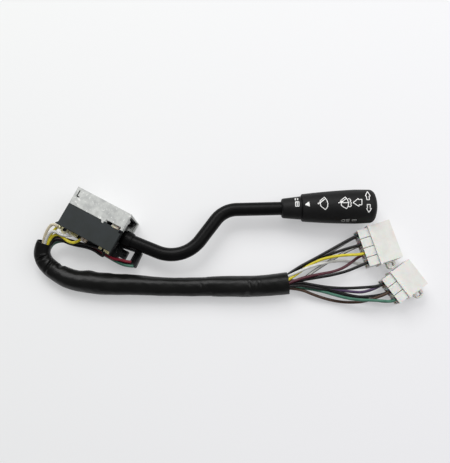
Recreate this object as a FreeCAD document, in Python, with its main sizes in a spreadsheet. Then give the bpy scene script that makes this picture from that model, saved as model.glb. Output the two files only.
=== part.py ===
import FreeCAD, Part
import math
import os
import re
import Sketcher

V = FreeCAD.Vector
doc = FreeCAD.newDocument("stalk_switch")

# Driving dimensions in millimetres and degrees
SIZES = [
    ("body_long", 49.0), ("body_wide", 34.0), ("body_deep", 31.0),
    ("wall", 2.0), ("floor_thick", 2.5), ("roof_wide", 15.0), ("sill", 3.0),
    ("corner_step", 0.6), ("lip_reach", 2.7), ("lip_high", 1.8), ("web_thick", 1.0),
    ("tab_wide", 2.4), ("tab_reach", 1.9),
    ("screw_spacing", 36.0), ("screw_bore", 4.2), ("screw_boss", 8.4), ("screw_boss_high", 7.0),
    ("plate_thick", 2.4), ("plate_drop", 0.4), ("plate_overhang", 0.4), ("plate_lip", 1.6),
    ("base_thick", 5.6), ("shelf_reach", 3.0), ("shelf_low", 12.0), ("shelf_top", 20.0),
    ("pivot_x", 4.0), ("pivot_y", -1.0), ("axis_high", 15.5), ("pivot_pin", 5.0), ("pivot_boss", 11.0),
    ("hub_wide", 14.0), ("hub_low", 8.3), ("hub_top", 25.0), ("flash_reach", 14.0), ("flash_pin", 4.0),
    ("tongue_wide", 6.4), ("fork_arm", 2.1), ("fork_deep", 12.0), ("fork_over", 3.5),
    ("tail_reach", 16.0), ("tail_wide", 8.0), ("detent_bore", 4.1), ("detent_pin", 4.0), ("latch_step", 7.0),
    ("barrel_wide", 5.8), ("barrel_long", 21.0), ("barrel_high", 14.0),
    ("lever_dia", 11.0), ("lever_bore", 7.6), ("root_straight", 16.0), ("tube_seat", 6.6),
    ("lever_yaw", 5.8), ("run_root", 46.9), ("cross_yaw", 81.1), ("run_cross", 54.5),
    ("knob_yaw", 29.3), ("run_knob", 63.9),
    ("low_bend", 29.5), ("high_bend", 22.5), ("root_ball", 13.2),
    ("collar_long", 16.4), ("collar_small", 16.4), ("collar_large", 19.2), ("neck_long", 3.0),
    ("neck_dia", 18.0), ("knob_long", 62.2), ("knob_mouth", 22.8), ("knob_large", 28.2),
    ("knob_taper", 44.0), ("knob_end_dia", 20.0),
    ("mouth_bore", 19.9), ("mouth_deep", 9.0), ("rotor_bore", 18.4), ("rotor_deep", 28.0),
    ("spring_bore", 16.0), ("spring_deep", 37.0), ("rotor_dia", 17.8), ("key_dia", 20.2),
    ("key_wide", 3.0), ("slide_gap", 0.3),
    ("tube_past_joint", 26.0), ("wash_travel", 4.0), ("fit", 0.03),
    ("guide_gap", 0.3), ("guide_high", 6.8), ("guide_bar", 3.0), ("guide_lift", 0.8),
    ("way_pitch", 7.9), ("plug_deep", 17.0), ("plug_long", 28.0), ("way_open", 5.8), ("plug_wall", 0.8),
    ("sleeve_dia", 15.0), ("wire_dia", 2.4),
    ("plug_eight_x", 201.9), ("plug_eight_y", 82.4), ("plug_eight_yaw", 45.9),
    ("plug_six_x", 236.8), ("plug_six_y", 61.1), ("plug_six_yaw", 64.0),
]
sheet = doc.addObject("Spreadsheet::Sheet", "sizes")
for line, (alias, value) in enumerate(SIZES, start=1):
    sheet.set(f"A{line}", alias)
    sheet.set(f"B{line}", str(value))
    sheet.setAlias(f"B{line}", alias)
doc.recompute()

FORMULA_WORDS = {"cos", "sin", "tan", "deg"}
pieces = {}


def tied(text):
    """A formula in plain size names, with each name turned into its cell of the sheet."""
    return re.sub(r"[a-z][a-z_]*", lambda word: word.group() if word.group() in FORMULA_WORDS
                  else "sizes." + word.group(), text)


def number(text):
    """What a formula in size names comes to now."""
    found = sheet.evalExpression(tied(text))
    return float(getattr(found, "Value", found))


def bind(thing, **formulas):
    """Binds properties of a feature to formulas in size names."""
    for prop, text in formulas.items():
        thing.setExpression(prop, tied(text))
    return thing


def place(thing, x="0", y="0", z="0", yaw=None, turn=None):
    """Sets a placement: three bound coordinates, and a fixed turn or a bound yaw about Z."""
    if yaw is not None:
        thing.Placement = FreeCAD.Placement(V(), FreeCAD.Rotation(V(0, 0, 1), 1))
        thing.setExpression("Placement.Rotation.Angle", tied(yaw))
    elif turn is not None:
        thing.Placement = FreeCAD.Placement(V(), turn)
    for letter, text in (("x", x), ("y", y), ("z", z)):
        thing.setExpression(f"Placement.Base.{letter}", tied(text))
    return thing


ALONG = {
    "x": FreeCAD.Rotation(V(0, 1, 0), 90),
    "y": FreeCAD.Rotation(V(1, 0, 0), -90),
    "z": FreeCAD.Rotation(),
}


def block(name, x, y, z):
    """A box between two bound values on each axis."""
    made = doc.addObject("Part::Box", name)
    bind(made, Length=f"({x[1]}) - ({x[0]})", Width=f"({y[1]}) - ({y[0]})", Height=f"({z[1]}) - ({z[0]})")
    return place(made, x[0], y[0], z[0])


def rod(name, spot, radius, high, along="z"):
    """A cylinder that starts at a spot and runs along one axis."""
    made = doc.addObject("Part::Cylinder", name)
    bind(made, Radius=radius, Height=high)
    return place(made, *spot, turn=ALONG[along])


def cone(name, spot, start_radius, end_radius, high, along="z"):
    """A frustum that starts at a spot and runs along one axis."""
    made = doc.addObject("Part::Cone", name)
    bind(made, Radius1=start_radius, Radius2=end_radius, Height=high)
    return place(made, *spot, turn=ALONG[along])


def join(name, *parts):
    """One solid out of parts that overlap or share faces."""
    made = doc.addObject("Part::MultiFuse", name)
    made.Shapes = list(parts)
    made.Refine = True
    return made


def cut(name, base, *tools):
    """The base less every tool."""
    made = doc.addObject("Part::Cut", name)
    made.Base = base
    made.Tool = tools[0] if len(tools) == 1 else join(name + "_tools", *tools)
    made.Refine = True
    return made


def group(name, *parts):
    """Separate solids that share one node."""
    made = doc.addObject("Part::Compound", name)
    made.Links = list(parts)
    return made


def keep(thing, label):
    """Registers a finished piece under the name of its file."""
    thing.Label = label
    pieces[label] = thing
    return thing


def sketch(body, plane, lift="0"):
    """A sketch on one of the body's own origin planes, lifted along the plane's normal."""
    made = body.newObject("Sketcher::SketchObject", body.Name + "_sketch")
    origin = [feature for feature in body.Origin.OriginFeatures if feature.Role == plane][0]
    made.AttachmentSupport = [(origin, "")]
    made.MapMode = "FlatFace"
    made.setExpression("AttachmentOffset.Base.z", tied(lift))
    return made


def outline(made, points, arcs=None, closed=True):
    """Straight edges through bound points; an edge in arcs bends, to the left for a positive radius."""
    arcs = arcs or {}
    spots = [V(number(x), number(y), 0) for x, y in points]
    edges = len(points) if closed else len(points) - 1
    ends = []
    for index in range(edges):
        start, end = spots[index], spots[(index + 1) % len(spots)]
        if index not in arcs:
            ends.append((made.addGeometry(Part.LineSegment(start, end), False), 1, 2))
            continue
        left, formula = arcs[index]
        radius = number(formula)
        chord = end - start
        normal = V(chord.y, -chord.x, 0).normalize() * (1 if left else -1)
        rise = radius - math.sqrt(max(radius ** 2 - chord.Length ** 2 / 4, 0))
        middle = start + chord * 0.5 + normal * rise
        edge = made.addGeometry(Part.Arc(start, middle, end), False)
        bound = made.addConstraint(Sketcher.Constraint("Radius", edge, radius))
        made.setExpression(f"Constraints[{bound}]", tied(formula))
        ends.append((edge, 1, 2) if left else (edge, 2, 1))
    for index in range(edges if closed else edges - 1):
        edge, _, tail = ends[index]
        after, head, _ = ends[(index + 1) % edges]
        made.addConstraint(Sketcher.Constraint("Coincident", edge, tail, after, head))
    corners = [(edge, head) for edge, head, _ in ends]
    if not closed:
        corners.append((ends[-1][0], ends[-1][2]))
    for (edge, spot), at, texts in zip(corners, spots, points):
        for kind, value, text in (("DistanceX", at.x, texts[0]), ("DistanceY", at.y, texts[1])):
            bound = made.addConstraint(Sketcher.Constraint(kind, -1, 1, edge, spot, value))
            made.setExpression(f"Constraints[{bound}]", tied(text))
    return made


def disc(made, x, y, radius):
    """A circle with its centre and radius bound."""
    edge = made.addGeometry(Part.Circle(V(number(x), number(y), 0), V(0, 0, 1), number(radius)), False)
    for kind, value, text in (("DistanceX", number(x), x), ("DistanceY", number(y), y)):
        bound = made.addConstraint(Sketcher.Constraint(kind, -1, 1, edge, 3, value))
        made.setExpression(f"Constraints[{bound}]", tied(text))
    bound = made.addConstraint(Sketcher.Constraint("Radius", edge, number(radius)))
    made.setExpression(f"Constraints[{bound}]", tied(radius))
    return made


def rectangle(made, x, y):
    """A rectangle between two bound values on each axis."""
    return outline(made, [(x[0], y[0]), (x[1], y[0]), (x[1], y[1]), (x[0], y[1])])


def pad(body, profile, length):
    """Material added from a profile along its normal."""
    made = body.newObject("PartDesign::Pad", body.Name + "_pad")
    made.Profile = profile
    made.setExpression("Length", tied(length))
    profile.Visibility = False
    doc.recompute()
    return made


def pocket(body, profile, depth, with_normal=False):
    """Material taken out against the profile's normal, or along it."""
    before = body.Shape.Volume
    made = body.newObject("PartDesign::Pocket", body.Name + "_pocket")
    made.Profile = profile
    made.Reversed = with_normal
    made.setExpression("Length", tied(depth))
    doc.recompute()
    if body.Shape.Volume > before - 1e-6:
        raise ValueError(f"a pocket in {body.Name} cuts nothing")
    return made


def revolve(body, profile, axis="H_Axis"):
    """Material made by a full turn of a profile about an axis of its sketch."""
    made = body.newObject("PartDesign::Revolution", body.Name + "_revolution")
    made.Profile = profile
    made.ReferenceAxis = (profile, [axis])
    made.Angle = 360
    doc.recompute()
    return made


def edges_near(shape, test):
    """Names of the edges whose middle point and direction pass a test."""
    names = []
    for index, edge in enumerate(shape.Edges, start=1):
        middle = edge.valueAt((edge.FirstParameter + edge.LastParameter) / 2)
        if test(edge, middle):
            names.append(f"Edge{index}")
    return names


def fillet(body, names, radius):
    """Rounded edges on the body's last feature."""
    made = body.newObject("PartDesign::Fillet", body.Name + "_fillet")
    made.Base = (body.Tip if body.Tip != made else made.BaseFeature, names)
    made.setExpression("Radius", tied(radius))
    doc.recompute()
    return made


def new_body(name):
    """An empty part-design body."""
    return doc.addObject("PartDesign::Body", name)


# Places worked out from the driving dimensions
half_long = "body_long/2"
back = "body_wide/2"
floor_front = "sill - body_wide/2"
roof_front = "body_wide/2 - roof_wide"
plate_top = "body_deep - plate_drop"
plate_under = "body_deep - plate_drop - plate_thick"
base_back = "base_thick - body_wide/2 + plate_overhang"
base_front = "plate_overhang - body_wide/2"
shelf_front = "plate_overhang - body_wide/2 - shelf_reach"
terminal_back = "plate_overhang - body_wide/2 + 2.4"
guide_start = "body_long/2 + guide_gap"
barrel_y = "body_wide/2 - wall - barrel_wide/2"
flash_x = "pivot_x + flash_reach"
root_end = "pivot_x + flash_reach + root_straight - 3"

# The lever's corner points, seen from above
low_corner_x = "pivot_x + flash_reach + root_straight - 3 + run_root * cos(lever_yaw * 1deg)"
low_corner_y = "pivot_y + run_root * sin(lever_yaw * 1deg)"
high_corner_x = f"{low_corner_x} + run_cross * cos(cross_yaw * 1deg)"
high_corner_y = f"{low_corner_y} + run_cross * sin(cross_yaw * 1deg)"
joint_x = f"{high_corner_x} + run_knob * cos(knob_yaw * 1deg)"
joint_y = f"{high_corner_y} + run_knob * sin(knob_yaw * 1deg)"


def on_knob_axis(thing):
    """Places a piece that is modelled along X from the joint between collar and knob."""
    return place(thing, joint_x, joint_y, "axis_high", yaw="knob_yaw")


# Die-cast housing: floor, back wall and roof strip in one section, with end walls, bosses and slots
def make_housing():
    body = new_body("housing")
    left = f"-{half_long}"
    section = sketch(body, "YZ_Plane", left)
    outline(section, [
        (floor_front, "0"), (back, "0"), (back, "body_deep"), (roof_front, "body_deep"),
        (roof_front, "body_deep - wall"), (f"{back} - wall", "body_deep - wall"),
        (f"{back} - wall", "floor_thick"), (floor_front, "floor_thick")])
    pad(body, section, "body_long")
    end_section = [
        (floor_front, "0"), (back, "0"), (back, "body_deep"), (roof_front, "body_deep"),
        (roof_front, plate_under), (floor_front, plate_under)]
    for start in (left, f"{half_long} - wall"):
        end_wall = sketch(body, "YZ_Plane", start)
        outline(end_wall, end_section)
        pad(body, end_wall, "wall")
    mouth = sketch(body, "YZ_Plane", f"{half_long} + 1")
    outline(mouth, [
        (f"{floor_front} - 1", "axis_high - 7.3"), ("pivot_y + 8.6", "axis_high - 7.3"),
        ("pivot_y + 11.6", "floor_thick + 1.4"), (f"{back} - wall", "floor_thick + 1.4"),
        (f"{back} - wall", "body_deep - wall - 2"), (f"{barrel_y} + 0.4", "body_deep - wall - 2"),
        (f"{barrel_y} + 0.4", "axis_high + 5.6"), (f"{barrel_y} - 2.6", "axis_high + 5.6"),
        (f"{barrel_y} - 2.6", "axis_high + 8.9"), (f"{floor_front} - 1", "axis_high + 8.9")],
        arcs={1: (True, "4.2")})
    pocket(body, mouth, "wall + 2")
    notch = sketch(body, "XY_Plane", "body_deep")
    rectangle(notch, ("8.6", f"{half_long} - 2.2"), (f"{roof_front} - 1", f"{roof_front} + tab_reach"))
    pocket(body, notch, "wall")
    for start, reach in (("8.6 - 3", "tab_reach"), (f"{half_long} - 2.2", "tab_reach + 0.8")):
        tab = sketch(body, "XY_Plane", f"{plate_under} + 0.1")
        rectangle(tab, (start, f"{start} + tab_wide - 0.2"),
                  (f"{roof_front} - {reach}", f"{roof_front} + 0.5"))
        pad(body, tab, "plate_thick + plate_drop - 0.1")
    hook = sketch(body, "XY_Plane", "body_deep")
    outline(hook, [
        (f"{left} + 2.3", f"{back} - 7.8"), (f"{left} + 5.0", f"{back} - 7.8"),
        (f"{left} + 5.0", f"{back} - 6.9"), (f"{left} + 3.2", f"{back} - 6.9"),
        (f"{left} + 3.2", f"{back} - 2.2"), (f"{left} + 2.3", f"{back} - 2.2")])
    pocket(body, hook, "wall + 1")
    ledge = sketch(body, "XY_Plane", "body_deep")
    outline(ledge, [
        (f"{half_long} - 23", f"{back} + 1"), (f"{half_long} - 23", f"{back} - 0.7"),
        (f"{half_long} - 1.6", f"{back} - 2.6"), (f"{half_long} + 1", f"{back} - 2.6"),
        (f"{half_long} + 1", f"{back} + 1")])
    pocket(body, ledge, "corner_step")
    lip_side = ("pivot_y + 8", f"{back} - web_thick")
    for start, height in ((f"{half_long} - 0.5", "floor_thick"),
                          (f"{half_long} + lip_reach - web_thick", "floor_thick + lip_high")):
        lip = sketch(body, "XY_Plane")
        rectangle(lip, (start, f"{half_long} + lip_reach"), lip_side)
        pad(body, lip, height)
    web = sketch(body, "XZ_Plane", f"web_thick - {back}")
    outline(web, [
        (f"{half_long} - 0.5", "0.5"), (f"{half_long} + lip_reach", "0.5"),
        (f"{half_long} + lip_reach", "floor_thick + lip_high"), (f"{half_long} + 0.2", "body_deep - 2.5"),
        (f"{half_long} - 0.5", "body_deep - 2.5")])
    pad(body, web, "web_thick")
    lug = sketch(body, "XY_Plane", "hub_top + 0.5")
    lug_half = "pivot_boss/2"
    outline(lug, [
        (f"pivot_x + {lug_half}", "pivot_y"), (f"pivot_x + {lug_half}", f"{roof_front} + 4"),
        (f"pivot_x - {lug_half}", f"{roof_front} + 4"), (f"pivot_x - {lug_half}", "pivot_y")],
        arcs={3: (True, f"{lug_half} * 1.001")})
    pad(body, lug, f"{plate_under} - hub_top - 0.7")
    root = sketch(body, "XY_Plane", f"{plate_under} - 0.3")
    rectangle(root, (f"pivot_x - {lug_half}", f"pivot_x + {lug_half}"),
              (f"{roof_front}", f"{roof_front} + 4"))
    pad(body, root, "plate_thick - wall + plate_drop + 1.3")
    for spot in ("-screw_spacing/2", "screw_spacing/2"):
        boss = sketch(body, "XY_Plane", "floor_thick - 0.5")
        disc(boss, spot, "0", "screw_boss/2")
        pad(body, boss, "screw_boss_high - floor_thick + 0.5")
    pivot_seat = sketch(body, "XY_Plane", "floor_thick - 0.5")
    disc(pivot_seat, "pivot_x", "pivot_y", "pivot_boss/2")
    pad(body, pivot_seat, "hub_low - floor_thick + 0.2")
    for spot in ("-screw_spacing/2", "screw_spacing/2"):
        bore = sketch(body, "XY_Plane", "screw_boss_high + 1")
        disc(bore, spot, "0", "screw_bore/2")
        pocket(body, bore, "screw_boss_high + 2")
    pin_bore = sketch(body, "XY_Plane", "body_deep")
    disc(pin_bore, "pivot_x", "pivot_y", "pivot_pin/2 + fit")
    pocket(body, pin_bore, "body_deep - 1")
    outer = edges_near(body.Shape, lambda edge, middle: edge.Length > number("body_long") * 0.9
                       and middle.y > number(back) - 0.01 and middle.z < 1)
    fillet(body, outer, "wall * 0.6")
    return keep(body, "housing")


# Black cover over the contact side, notched for the casting's tabs
def make_cover_plate():
    body = new_body("cover_plate")
    left, right = f"-{half_long} - 0.2", f"{half_long} - 0.2"
    rear, front = f"{roof_front} - 0.15", f"-{back} - plate_overhang"
    face = sketch(body, "XY_Plane", plate_under)
    outline(face, [
        (left, rear), (left, f"{front} + 2.2"), (f"{left} - plate_lip", f"{front} + 0.4"),
        (f"{left} - plate_lip", front), (right, front), (right, f"{roof_front} - tab_reach - 1"),
        (f"{right} - 2.2", f"{roof_front} - tab_reach - 1"), (f"{right} - 2.2", f"{roof_front} - 1.2"),
        (f"{right} - 9", f"{roof_front} - 1.2"), (f"{right} - 9", f"{roof_front} - 0.6"),
        ("8.0", f"{roof_front} - 0.6"), ("8.0", f"{roof_front} - tab_reach - 0.2"),
        ("5.4", f"{roof_front} - tab_reach - 0.2"), ("5.4", rear)])
    pad(body, face, "plate_thick")
    top_edges = edges_near(body.Shape, lambda edge, middle: abs(middle.z - number(plate_top)) < 1e-4
                           and edge.Length > number("body_wide") / 3)
    fillet(body, top_edges, "0.4")
    return keep(body, "cover_plate")


# Moulded base behind the terminals, with the shelf that carries them and the stub for the wire guide
def make_switch_base():
    left, right = f"-{half_long} + wall + 0.2", f"{half_long} - wall - 0.2"
    main = block("base_main", (left, right), (base_front, base_back), ("floor_thick + 0.1", "shelf_top"))
    rear = block("base_rear", (left, right), (terminal_back, base_back),
                 ("shelf_top", f"{plate_under} - 0.1"))
    shelf = block("base_shelf", (left, right), (shelf_front, base_front), ("shelf_low", "shelf_top"))
    stub = block("base_stub", (f"{right} - 3", f"{guide_start} - 0.1"), (shelf_front, f"{floor_front} - 0.3"),
                 ("3", "guide_lift + guide_high + 0.4"))
    stub_foot = block("base_stub_foot", (f"{right} - 3", right), (shelf_front, base_front),
                      ("3", "guide_lift + guide_high + 0.4"))
    ribs = []
    for index, spot in enumerate(("-15.0", "-6.2", "5.8", "16.0")):
        ribs.append(block(f"base_rib_{index}", (spot, f"{spot} + 0.8"),
                          (f"{base_front} + 0.1", terminal_back), ("shelf_top", f"{plate_under} - 0.4")))
    grooves = []
    for index in range(3):
        low = f"{7 + 6 * index}"
        grooves.append(block(f"base_groove_{index}", ("-12", "-1"),
                             (f"{base_back} - 0.6", f"{base_back} + 1"), (low, f"{low} + 3.2")))
    solid = join("base_solid", main, rear, shelf, stub, stub_foot, *ribs)
    keep(cut("base_cut", solid, *grooves), "switch_base")
    strips = [block(f"contact_strip_{index}", ("-11.8", "-1.2"),
                    (f"{base_back} - 0.55", f"{base_back} + 0.15"),
                    (f"{7.2 + 6 * index}", f"{10.0 + 6 * index}")) for index in range(3)]
    keep(group("contact_strips", *strips), "fixed_contacts")


# Brass terminals on the shelf, each of its own kind
def make_terminals():
    flat = "0.8"
    ring_x, ring_y = "-19.6", f"{base_front} - 1.7"
    ring_low = "shelf_top + 0.05"
    barrel_axis = "shelf_top + 1.65"
    eye = rod("ring_eye", (ring_x, ring_y, ring_low), "3.4", flat)
    neck = block("ring_neck", (f"{ring_x} - 4.6", f"{ring_x} - 2"), (f"{ring_y} - 1.2", f"{ring_y} + 1.2"),
                 (ring_low, f"{ring_low} + {flat}"))
    barrel = rod("ring_barrel", (f"{ring_x} - 6", ring_y, barrel_axis), "1.6", "2.4", "x")
    keep(cut("ring_cut", join("ring_solid", eye, neck, barrel),
             rod("ring_hole", (ring_x, ring_y, "shelf_top - 1"), "1.7", "4")), "ring_terminal")
    clip_x, clip_y = "-9.7", f"{base_front} - 1.6"
    clip = block("clip_outer", (f"{clip_x} - 3", f"{clip_x} + 2.2"), (f"{clip_y} - 1.5", f"{clip_y} + 1.7"),
                 (ring_low, f"{ring_low} + 4.6"))
    channel = block("clip_channel", (f"{clip_x} - 4", f"{clip_x} + 3"), (f"{clip_y} - 0.8", f"{clip_y} + 1"),
                    (f"{ring_low} + {flat}", f"{ring_low} + 6"))
    window = rod("clip_window", (f"{clip_x} + 0.6", f"{clip_y} - 3", f"{ring_low} + 3"), "0.8", "6", "y")
    clip_barrel = rod("clip_barrel", (f"{clip_x} - 5.4", clip_y, barrel_axis), "1.6", "2.6", "x")
    keep(join("clip_solid", cut("clip_cut", clip, channel, window), clip_barrel), "clip_terminal")
    crimp_x, crimp_y = "-1.3", f"{base_front} - 1.8"
    crimp = block("crimp_outer", (f"{crimp_x} - 2.5", f"{crimp_x} + 2.5"),
                  (f"{crimp_y} - 1.2", f"{crimp_y} + 1.9"),
                  (ring_low, f"{ring_low} + 3.4"))
    crimp_hole = rod("crimp_hole", (f"{crimp_x} - 1.4", f"{crimp_y} + 0.4", barrel_axis), "0.9", "6", "x")
    crimp_slit = block("crimp_slit", (f"{crimp_x} - 0.4", f"{crimp_x} + 0.4"),
                       (f"{crimp_y} - 3", f"{crimp_y} + 3"),
                       (f"{ring_low} + 1.6", f"{ring_low} + 4"))
    keep(cut("crimp_cut", crimp, crimp_hole, crimp_slit), "crimp_terminal")
    for label, tab_x, tab_y, half in (("inner_tab_terminal", "13.6", f"{base_front} - 1.3", "1.2"),
                                      ("outer_tab_terminal", "19.3", f"{base_front} - 1.6", "2.1")):
        foot = block(label + "_foot", (f"{tab_x} - {half}", f"{tab_x} + {half}"),
                     (f"{tab_y} - 1", f"{tab_y} + 1.4"),
                     (ring_low, f"{ring_low} + {flat}"))
        blade = block(label + "_blade", (f"{tab_x} - {half}", f"{tab_x} + {half}"),
                      (f"{tab_y} + 0.6", f"{tab_y} + 1.4"), (ring_low, f"{ring_low} + 5"))
        solder = cone(label + "_solder", (f"{tab_x} - {half}", tab_y, barrel_axis), "1.2", "0.6", half, "x")
        keep(join(label + "_solid", foot, blade, solder), label)


# Frame that guides the wires to the lever, and the clamp block inside it
def make_wire_guide():
    body = new_body("wire_guide")
    top = "guide_lift + guide_high"
    outer = sketch(body, "XY_Plane", "guide_lift")
    outline(outer, [(guide_start, "-21.3"), (f"{guide_start} + 18.8", "-17.9"),
                    (f"{guide_start} + 17.8", "-4.4"),
                    (guide_start, "-6.6")])
    pad(body, outer, "guide_high")
    inner = sketch(body, "XY_Plane", top)
    outline(inner, [(f"{guide_start} + guide_bar/2", "-21 + guide_bar"),
                    (f"{guide_start} + 12.3", "-19.2 + guide_bar"),
                    (f"{guide_start} + 12.3", "-3.4 - guide_bar"),
                    (f"{guide_start} + guide_bar/2", "-5.2 - guide_bar")])
    pocket(body, inner, "guide_high + 1")
    side = sketch(body, "XY_Plane", top)
    outline(side, [(f"{guide_start} + 13.6", "-16.0"), (f"{guide_start} + 17.2", "-15.4"),
                   (f"{guide_start} + 16.6", "-6.4"), (f"{guide_start} + 13.6", "-6.8")])
    pocket(body, side, "guide_high * 0.6")
    outer_end = number(f"{guide_start} + 16")
    uprights = edges_near(body.Shape, lambda edge, middle: middle.x > outer_end
                          and abs(edge.BoundBox.ZLength - number("guide_high")) < 1e-3)
    fillet(body, uprights, "0.8")
    keep(body, "wire_guide")
    block_top = "axis_high - 7.3"
    solid = block("clamp_solid", (f"{guide_start} + guide_bar/2 + 0.1", f"{guide_start} + 7.4"),
                  ("-16.2", "-8.9"), ("0.3", block_top))
    deep_slot = block("clamp_slot", (f"{guide_start} + 2.4", f"{guide_start} + 6.4"), ("-11.6", "-8"),
                      (f"{block_top} - 4", f"{block_top} + 1"))
    corner = block("clamp_corner", (f"{guide_start} + 4.8", f"{guide_start} + 9"), ("-14.6", "-12.6"),
                   (f"{block_top} - 3", f"{block_top} + 1"))
    keep(cut("clamp_cut", solid, deep_slot, corner), "wire_clamp")


# Pivot pin, detent cam and the dip-switch cartridge, all fixed in the casting
def make_fixed_mechanism():
    keep(rod("pivot_pin_rod", ("pivot_x", "pivot_y", "1"), "pivot_pin/2", f"{plate_under} - 1.3"),
         "pivot_pin")
    crest = "tail_reach + 2.3"
    cam = block("cam_block", (f"-{half_long} + wall + 0.05", f"pivot_x - {crest} + 3"),
                ("pivot_y - 7.5", "pivot_y + 7.5"),
                ("screw_boss_high + 3.6", "axis_high + 5"))
    sweep = rod("cam_sweep", ("pivot_x", "pivot_y", "0"), crest, "body_deep")
    notches = []
    for index, side in enumerate(("0", "1", "2")):
        turn = f"({side} * latch_step * 1deg)"
        spot = (f"pivot_x - (tail_reach + 1.1) * cos{turn}",
                f"pivot_y - (tail_reach + 1.1) * sin{turn}", "0")
        notches.append(rod(f"cam_notch_{index}", spot, "detent_pin/2 + 0.15", "body_deep"))
    keep(cut("cam_cut", cam, sweep, *notches), "detent_cam")
    start = f"{half_long} - wall - 3.4 - barrel_long"
    shell = rod("barrel_shell", (start, barrel_y, "barrel_high"), "barrel_wide/2", "barrel_long", "x")
    rim = rod("barrel_rim", (f"{start} + barrel_long - 2", barrel_y, "barrel_high"), "barrel_wide/2 - 0.9",
              "3", "x")
    saddle = block("barrel_saddle", (f"{start} + 3", f"{start} + barrel_long - 6"),
                   (f"{barrel_y} - 1.5", f"{barrel_y} + 1.5"),
                   ("floor_thick + 0.05", "barrel_high - 2"))
    nose = rod("barrel_nose", (f"{start} + barrel_long - 8", f"{barrel_y} + 0.3", "axis_high - 9.2"), "2.2",
               f"{half_long} + 0.7 - ({start} + barrel_long - 8)", "x")
    keep(join("barrel_join", cut("barrel_cut", shell, rim), saddle, nose), "dip_switch_barrel")


# Carrier that turns about the pivot pin: hub, fork for the lever, tail with the detent bore
def make_carrier():
    hub = rod("carrier_hub", ("pivot_x", "pivot_y", "hub_low"), "hub_wide/2", "hub_top - hub_low")
    arm_end = f"{flash_x} + fork_over"
    fork_low, fork_top = "axis_high - fork_deep/2", "axis_high + fork_deep/2"
    arms = []
    for index, side in enumerate((-1, 1)):
        near, far = "tongue_wide/2 + slide_gap", "tongue_wide/2 + slide_gap + fork_arm"
        span = ((f"pivot_y + {near}", f"pivot_y + {far}") if side > 0
                else (f"pivot_y - ({far})", f"pivot_y - ({near})"))
        arms.append(block(f"carrier_arm_{index}", ("pivot_x", arm_end), span, (fork_low, fork_top)))
    tail = block("carrier_tail", ("pivot_x - tail_reach + 1.6", "pivot_x"),
                 ("pivot_y - tail_wide/2", "pivot_y + tail_wide/2"),
                 ("axis_high - tail_wide/2", "axis_high + tail_wide/2"))
    tail_nose = cone("carrier_nose", ("pivot_x - tail_reach + 0.2", "pivot_y", "axis_high"),
                     "tail_wide/2 - 0.9", "tail_wide/2 - 0.1", "1.8", "x")
    pad_peg = block("carrier_peg", (f"{flash_x} - 3", f"{flash_x} + 1"),
                    ("pivot_y + tongue_wide/2 + slide_gap + 0.5",
                     "pivot_y + tongue_wide/2 + slide_gap + 1.7"),
                    (fork_top, f"{fork_top} + 3"))
    pin_bore = rod("carrier_pin_bore", ("pivot_x", "pivot_y", "0"), "pivot_pin/2 + fit", "body_deep")
    flash_bore = rod("carrier_flash_bore", (flash_x, "pivot_y - 12", "axis_high"), "flash_pin/2 + fit", "24",
                     "y")
    detent_bore = rod("carrier_detent_bore", ("pivot_x - tail_reach - 1", "pivot_y", "axis_high"),
                      "detent_bore/2", "tail_reach - pivot_pin/2 - 1.6", "x")
    throat = block("carrier_throat", ("pivot_x + hub_wide/2 - 1.2", arm_end),
                   ("pivot_y - tongue_wide/2 - slide_gap", "pivot_y + tongue_wide/2 + slide_gap"),
                   ("0", "body_deep"))
    solid = join("carrier_solid", hub, *arms, tail, tail_nose, pad_peg)
    keep(cut("carrier_cut", solid, pin_bore, flash_bore, detent_bore, throat), "lever_carrier")
    slider = block("slider_block", (f"{flash_x} - 4.3", f"{flash_x} + 2.2"),
                   ("pivot_y + tongue_wide/2 - 1", "pivot_y + tongue_wide/2 + slide_gap + fork_arm"),
                   (f"{fork_top} + 0.05", f"{plate_under} - 0.3"))
    slot = block("slider_slot", (f"{flash_x} - 3.05", f"{flash_x} + 1.05"),
                 ("pivot_y + tongue_wide/2 + slide_gap + 0.45", "pivot_y + tongue_wide/2 + slide_gap + 1.75"),
                 (fork_top, f"{fork_top} + 3.05"))
    keep(cut("slider_cut", slider, slot), "nylon_slider")
    pin_half = "tongue_wide/2 + slide_gap + fork_arm"
    keep(rod("flash_pin_rod", (flash_x, f"pivot_y - ({pin_half})", "axis_high"), "flash_pin/2",
             f"2 * ({pin_half})", "y"),
         "flash_pin")
    plunger_start = "pivot_x - tail_reach - 2"
    shaft = rod("plunger_shaft", (f"{plunger_start} + detent_pin/2", "pivot_y", "axis_high"), "detent_pin/2",
                "5", "x")
    tip = doc.addObject("Part::Sphere", "plunger_tip")
    bind(tip, Radius="detent_pin/2")
    place(tip, f"{plunger_start} + detent_pin/2", "pivot_y", "axis_high")
    keep(join("plunger_join", shaft, tip), "detent_plunger")
    fingers = []
    for index, (root_low, root_top) in enumerate((("7.5", "12.9"), ("13.5", "15.7"), ("16.5", "21.7"))):
        low = f"{7.5 + 6 * index}"
        root = block(f"finger_root_{index}", ("pivot_x - 11", "pivot_x - 8"),
                     ("pivot_y - tail_wide/2 - 0.65", "pivot_y - tail_wide/2 - 0.05"), (root_low, root_top))
        reach = block(f"finger_reach_{index}", ("pivot_x - 11", "pivot_x - 10.4"),
                      ("pivot_y - tail_wide/2 - 2.9", "pivot_y - tail_wide/2 - 0.05"), (low, f"{low} + 2.2"))
        fingers.append(join(f"finger_{index}", root, reach))
    keep(group("finger_group", *fingers), "moving_contacts")


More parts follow.
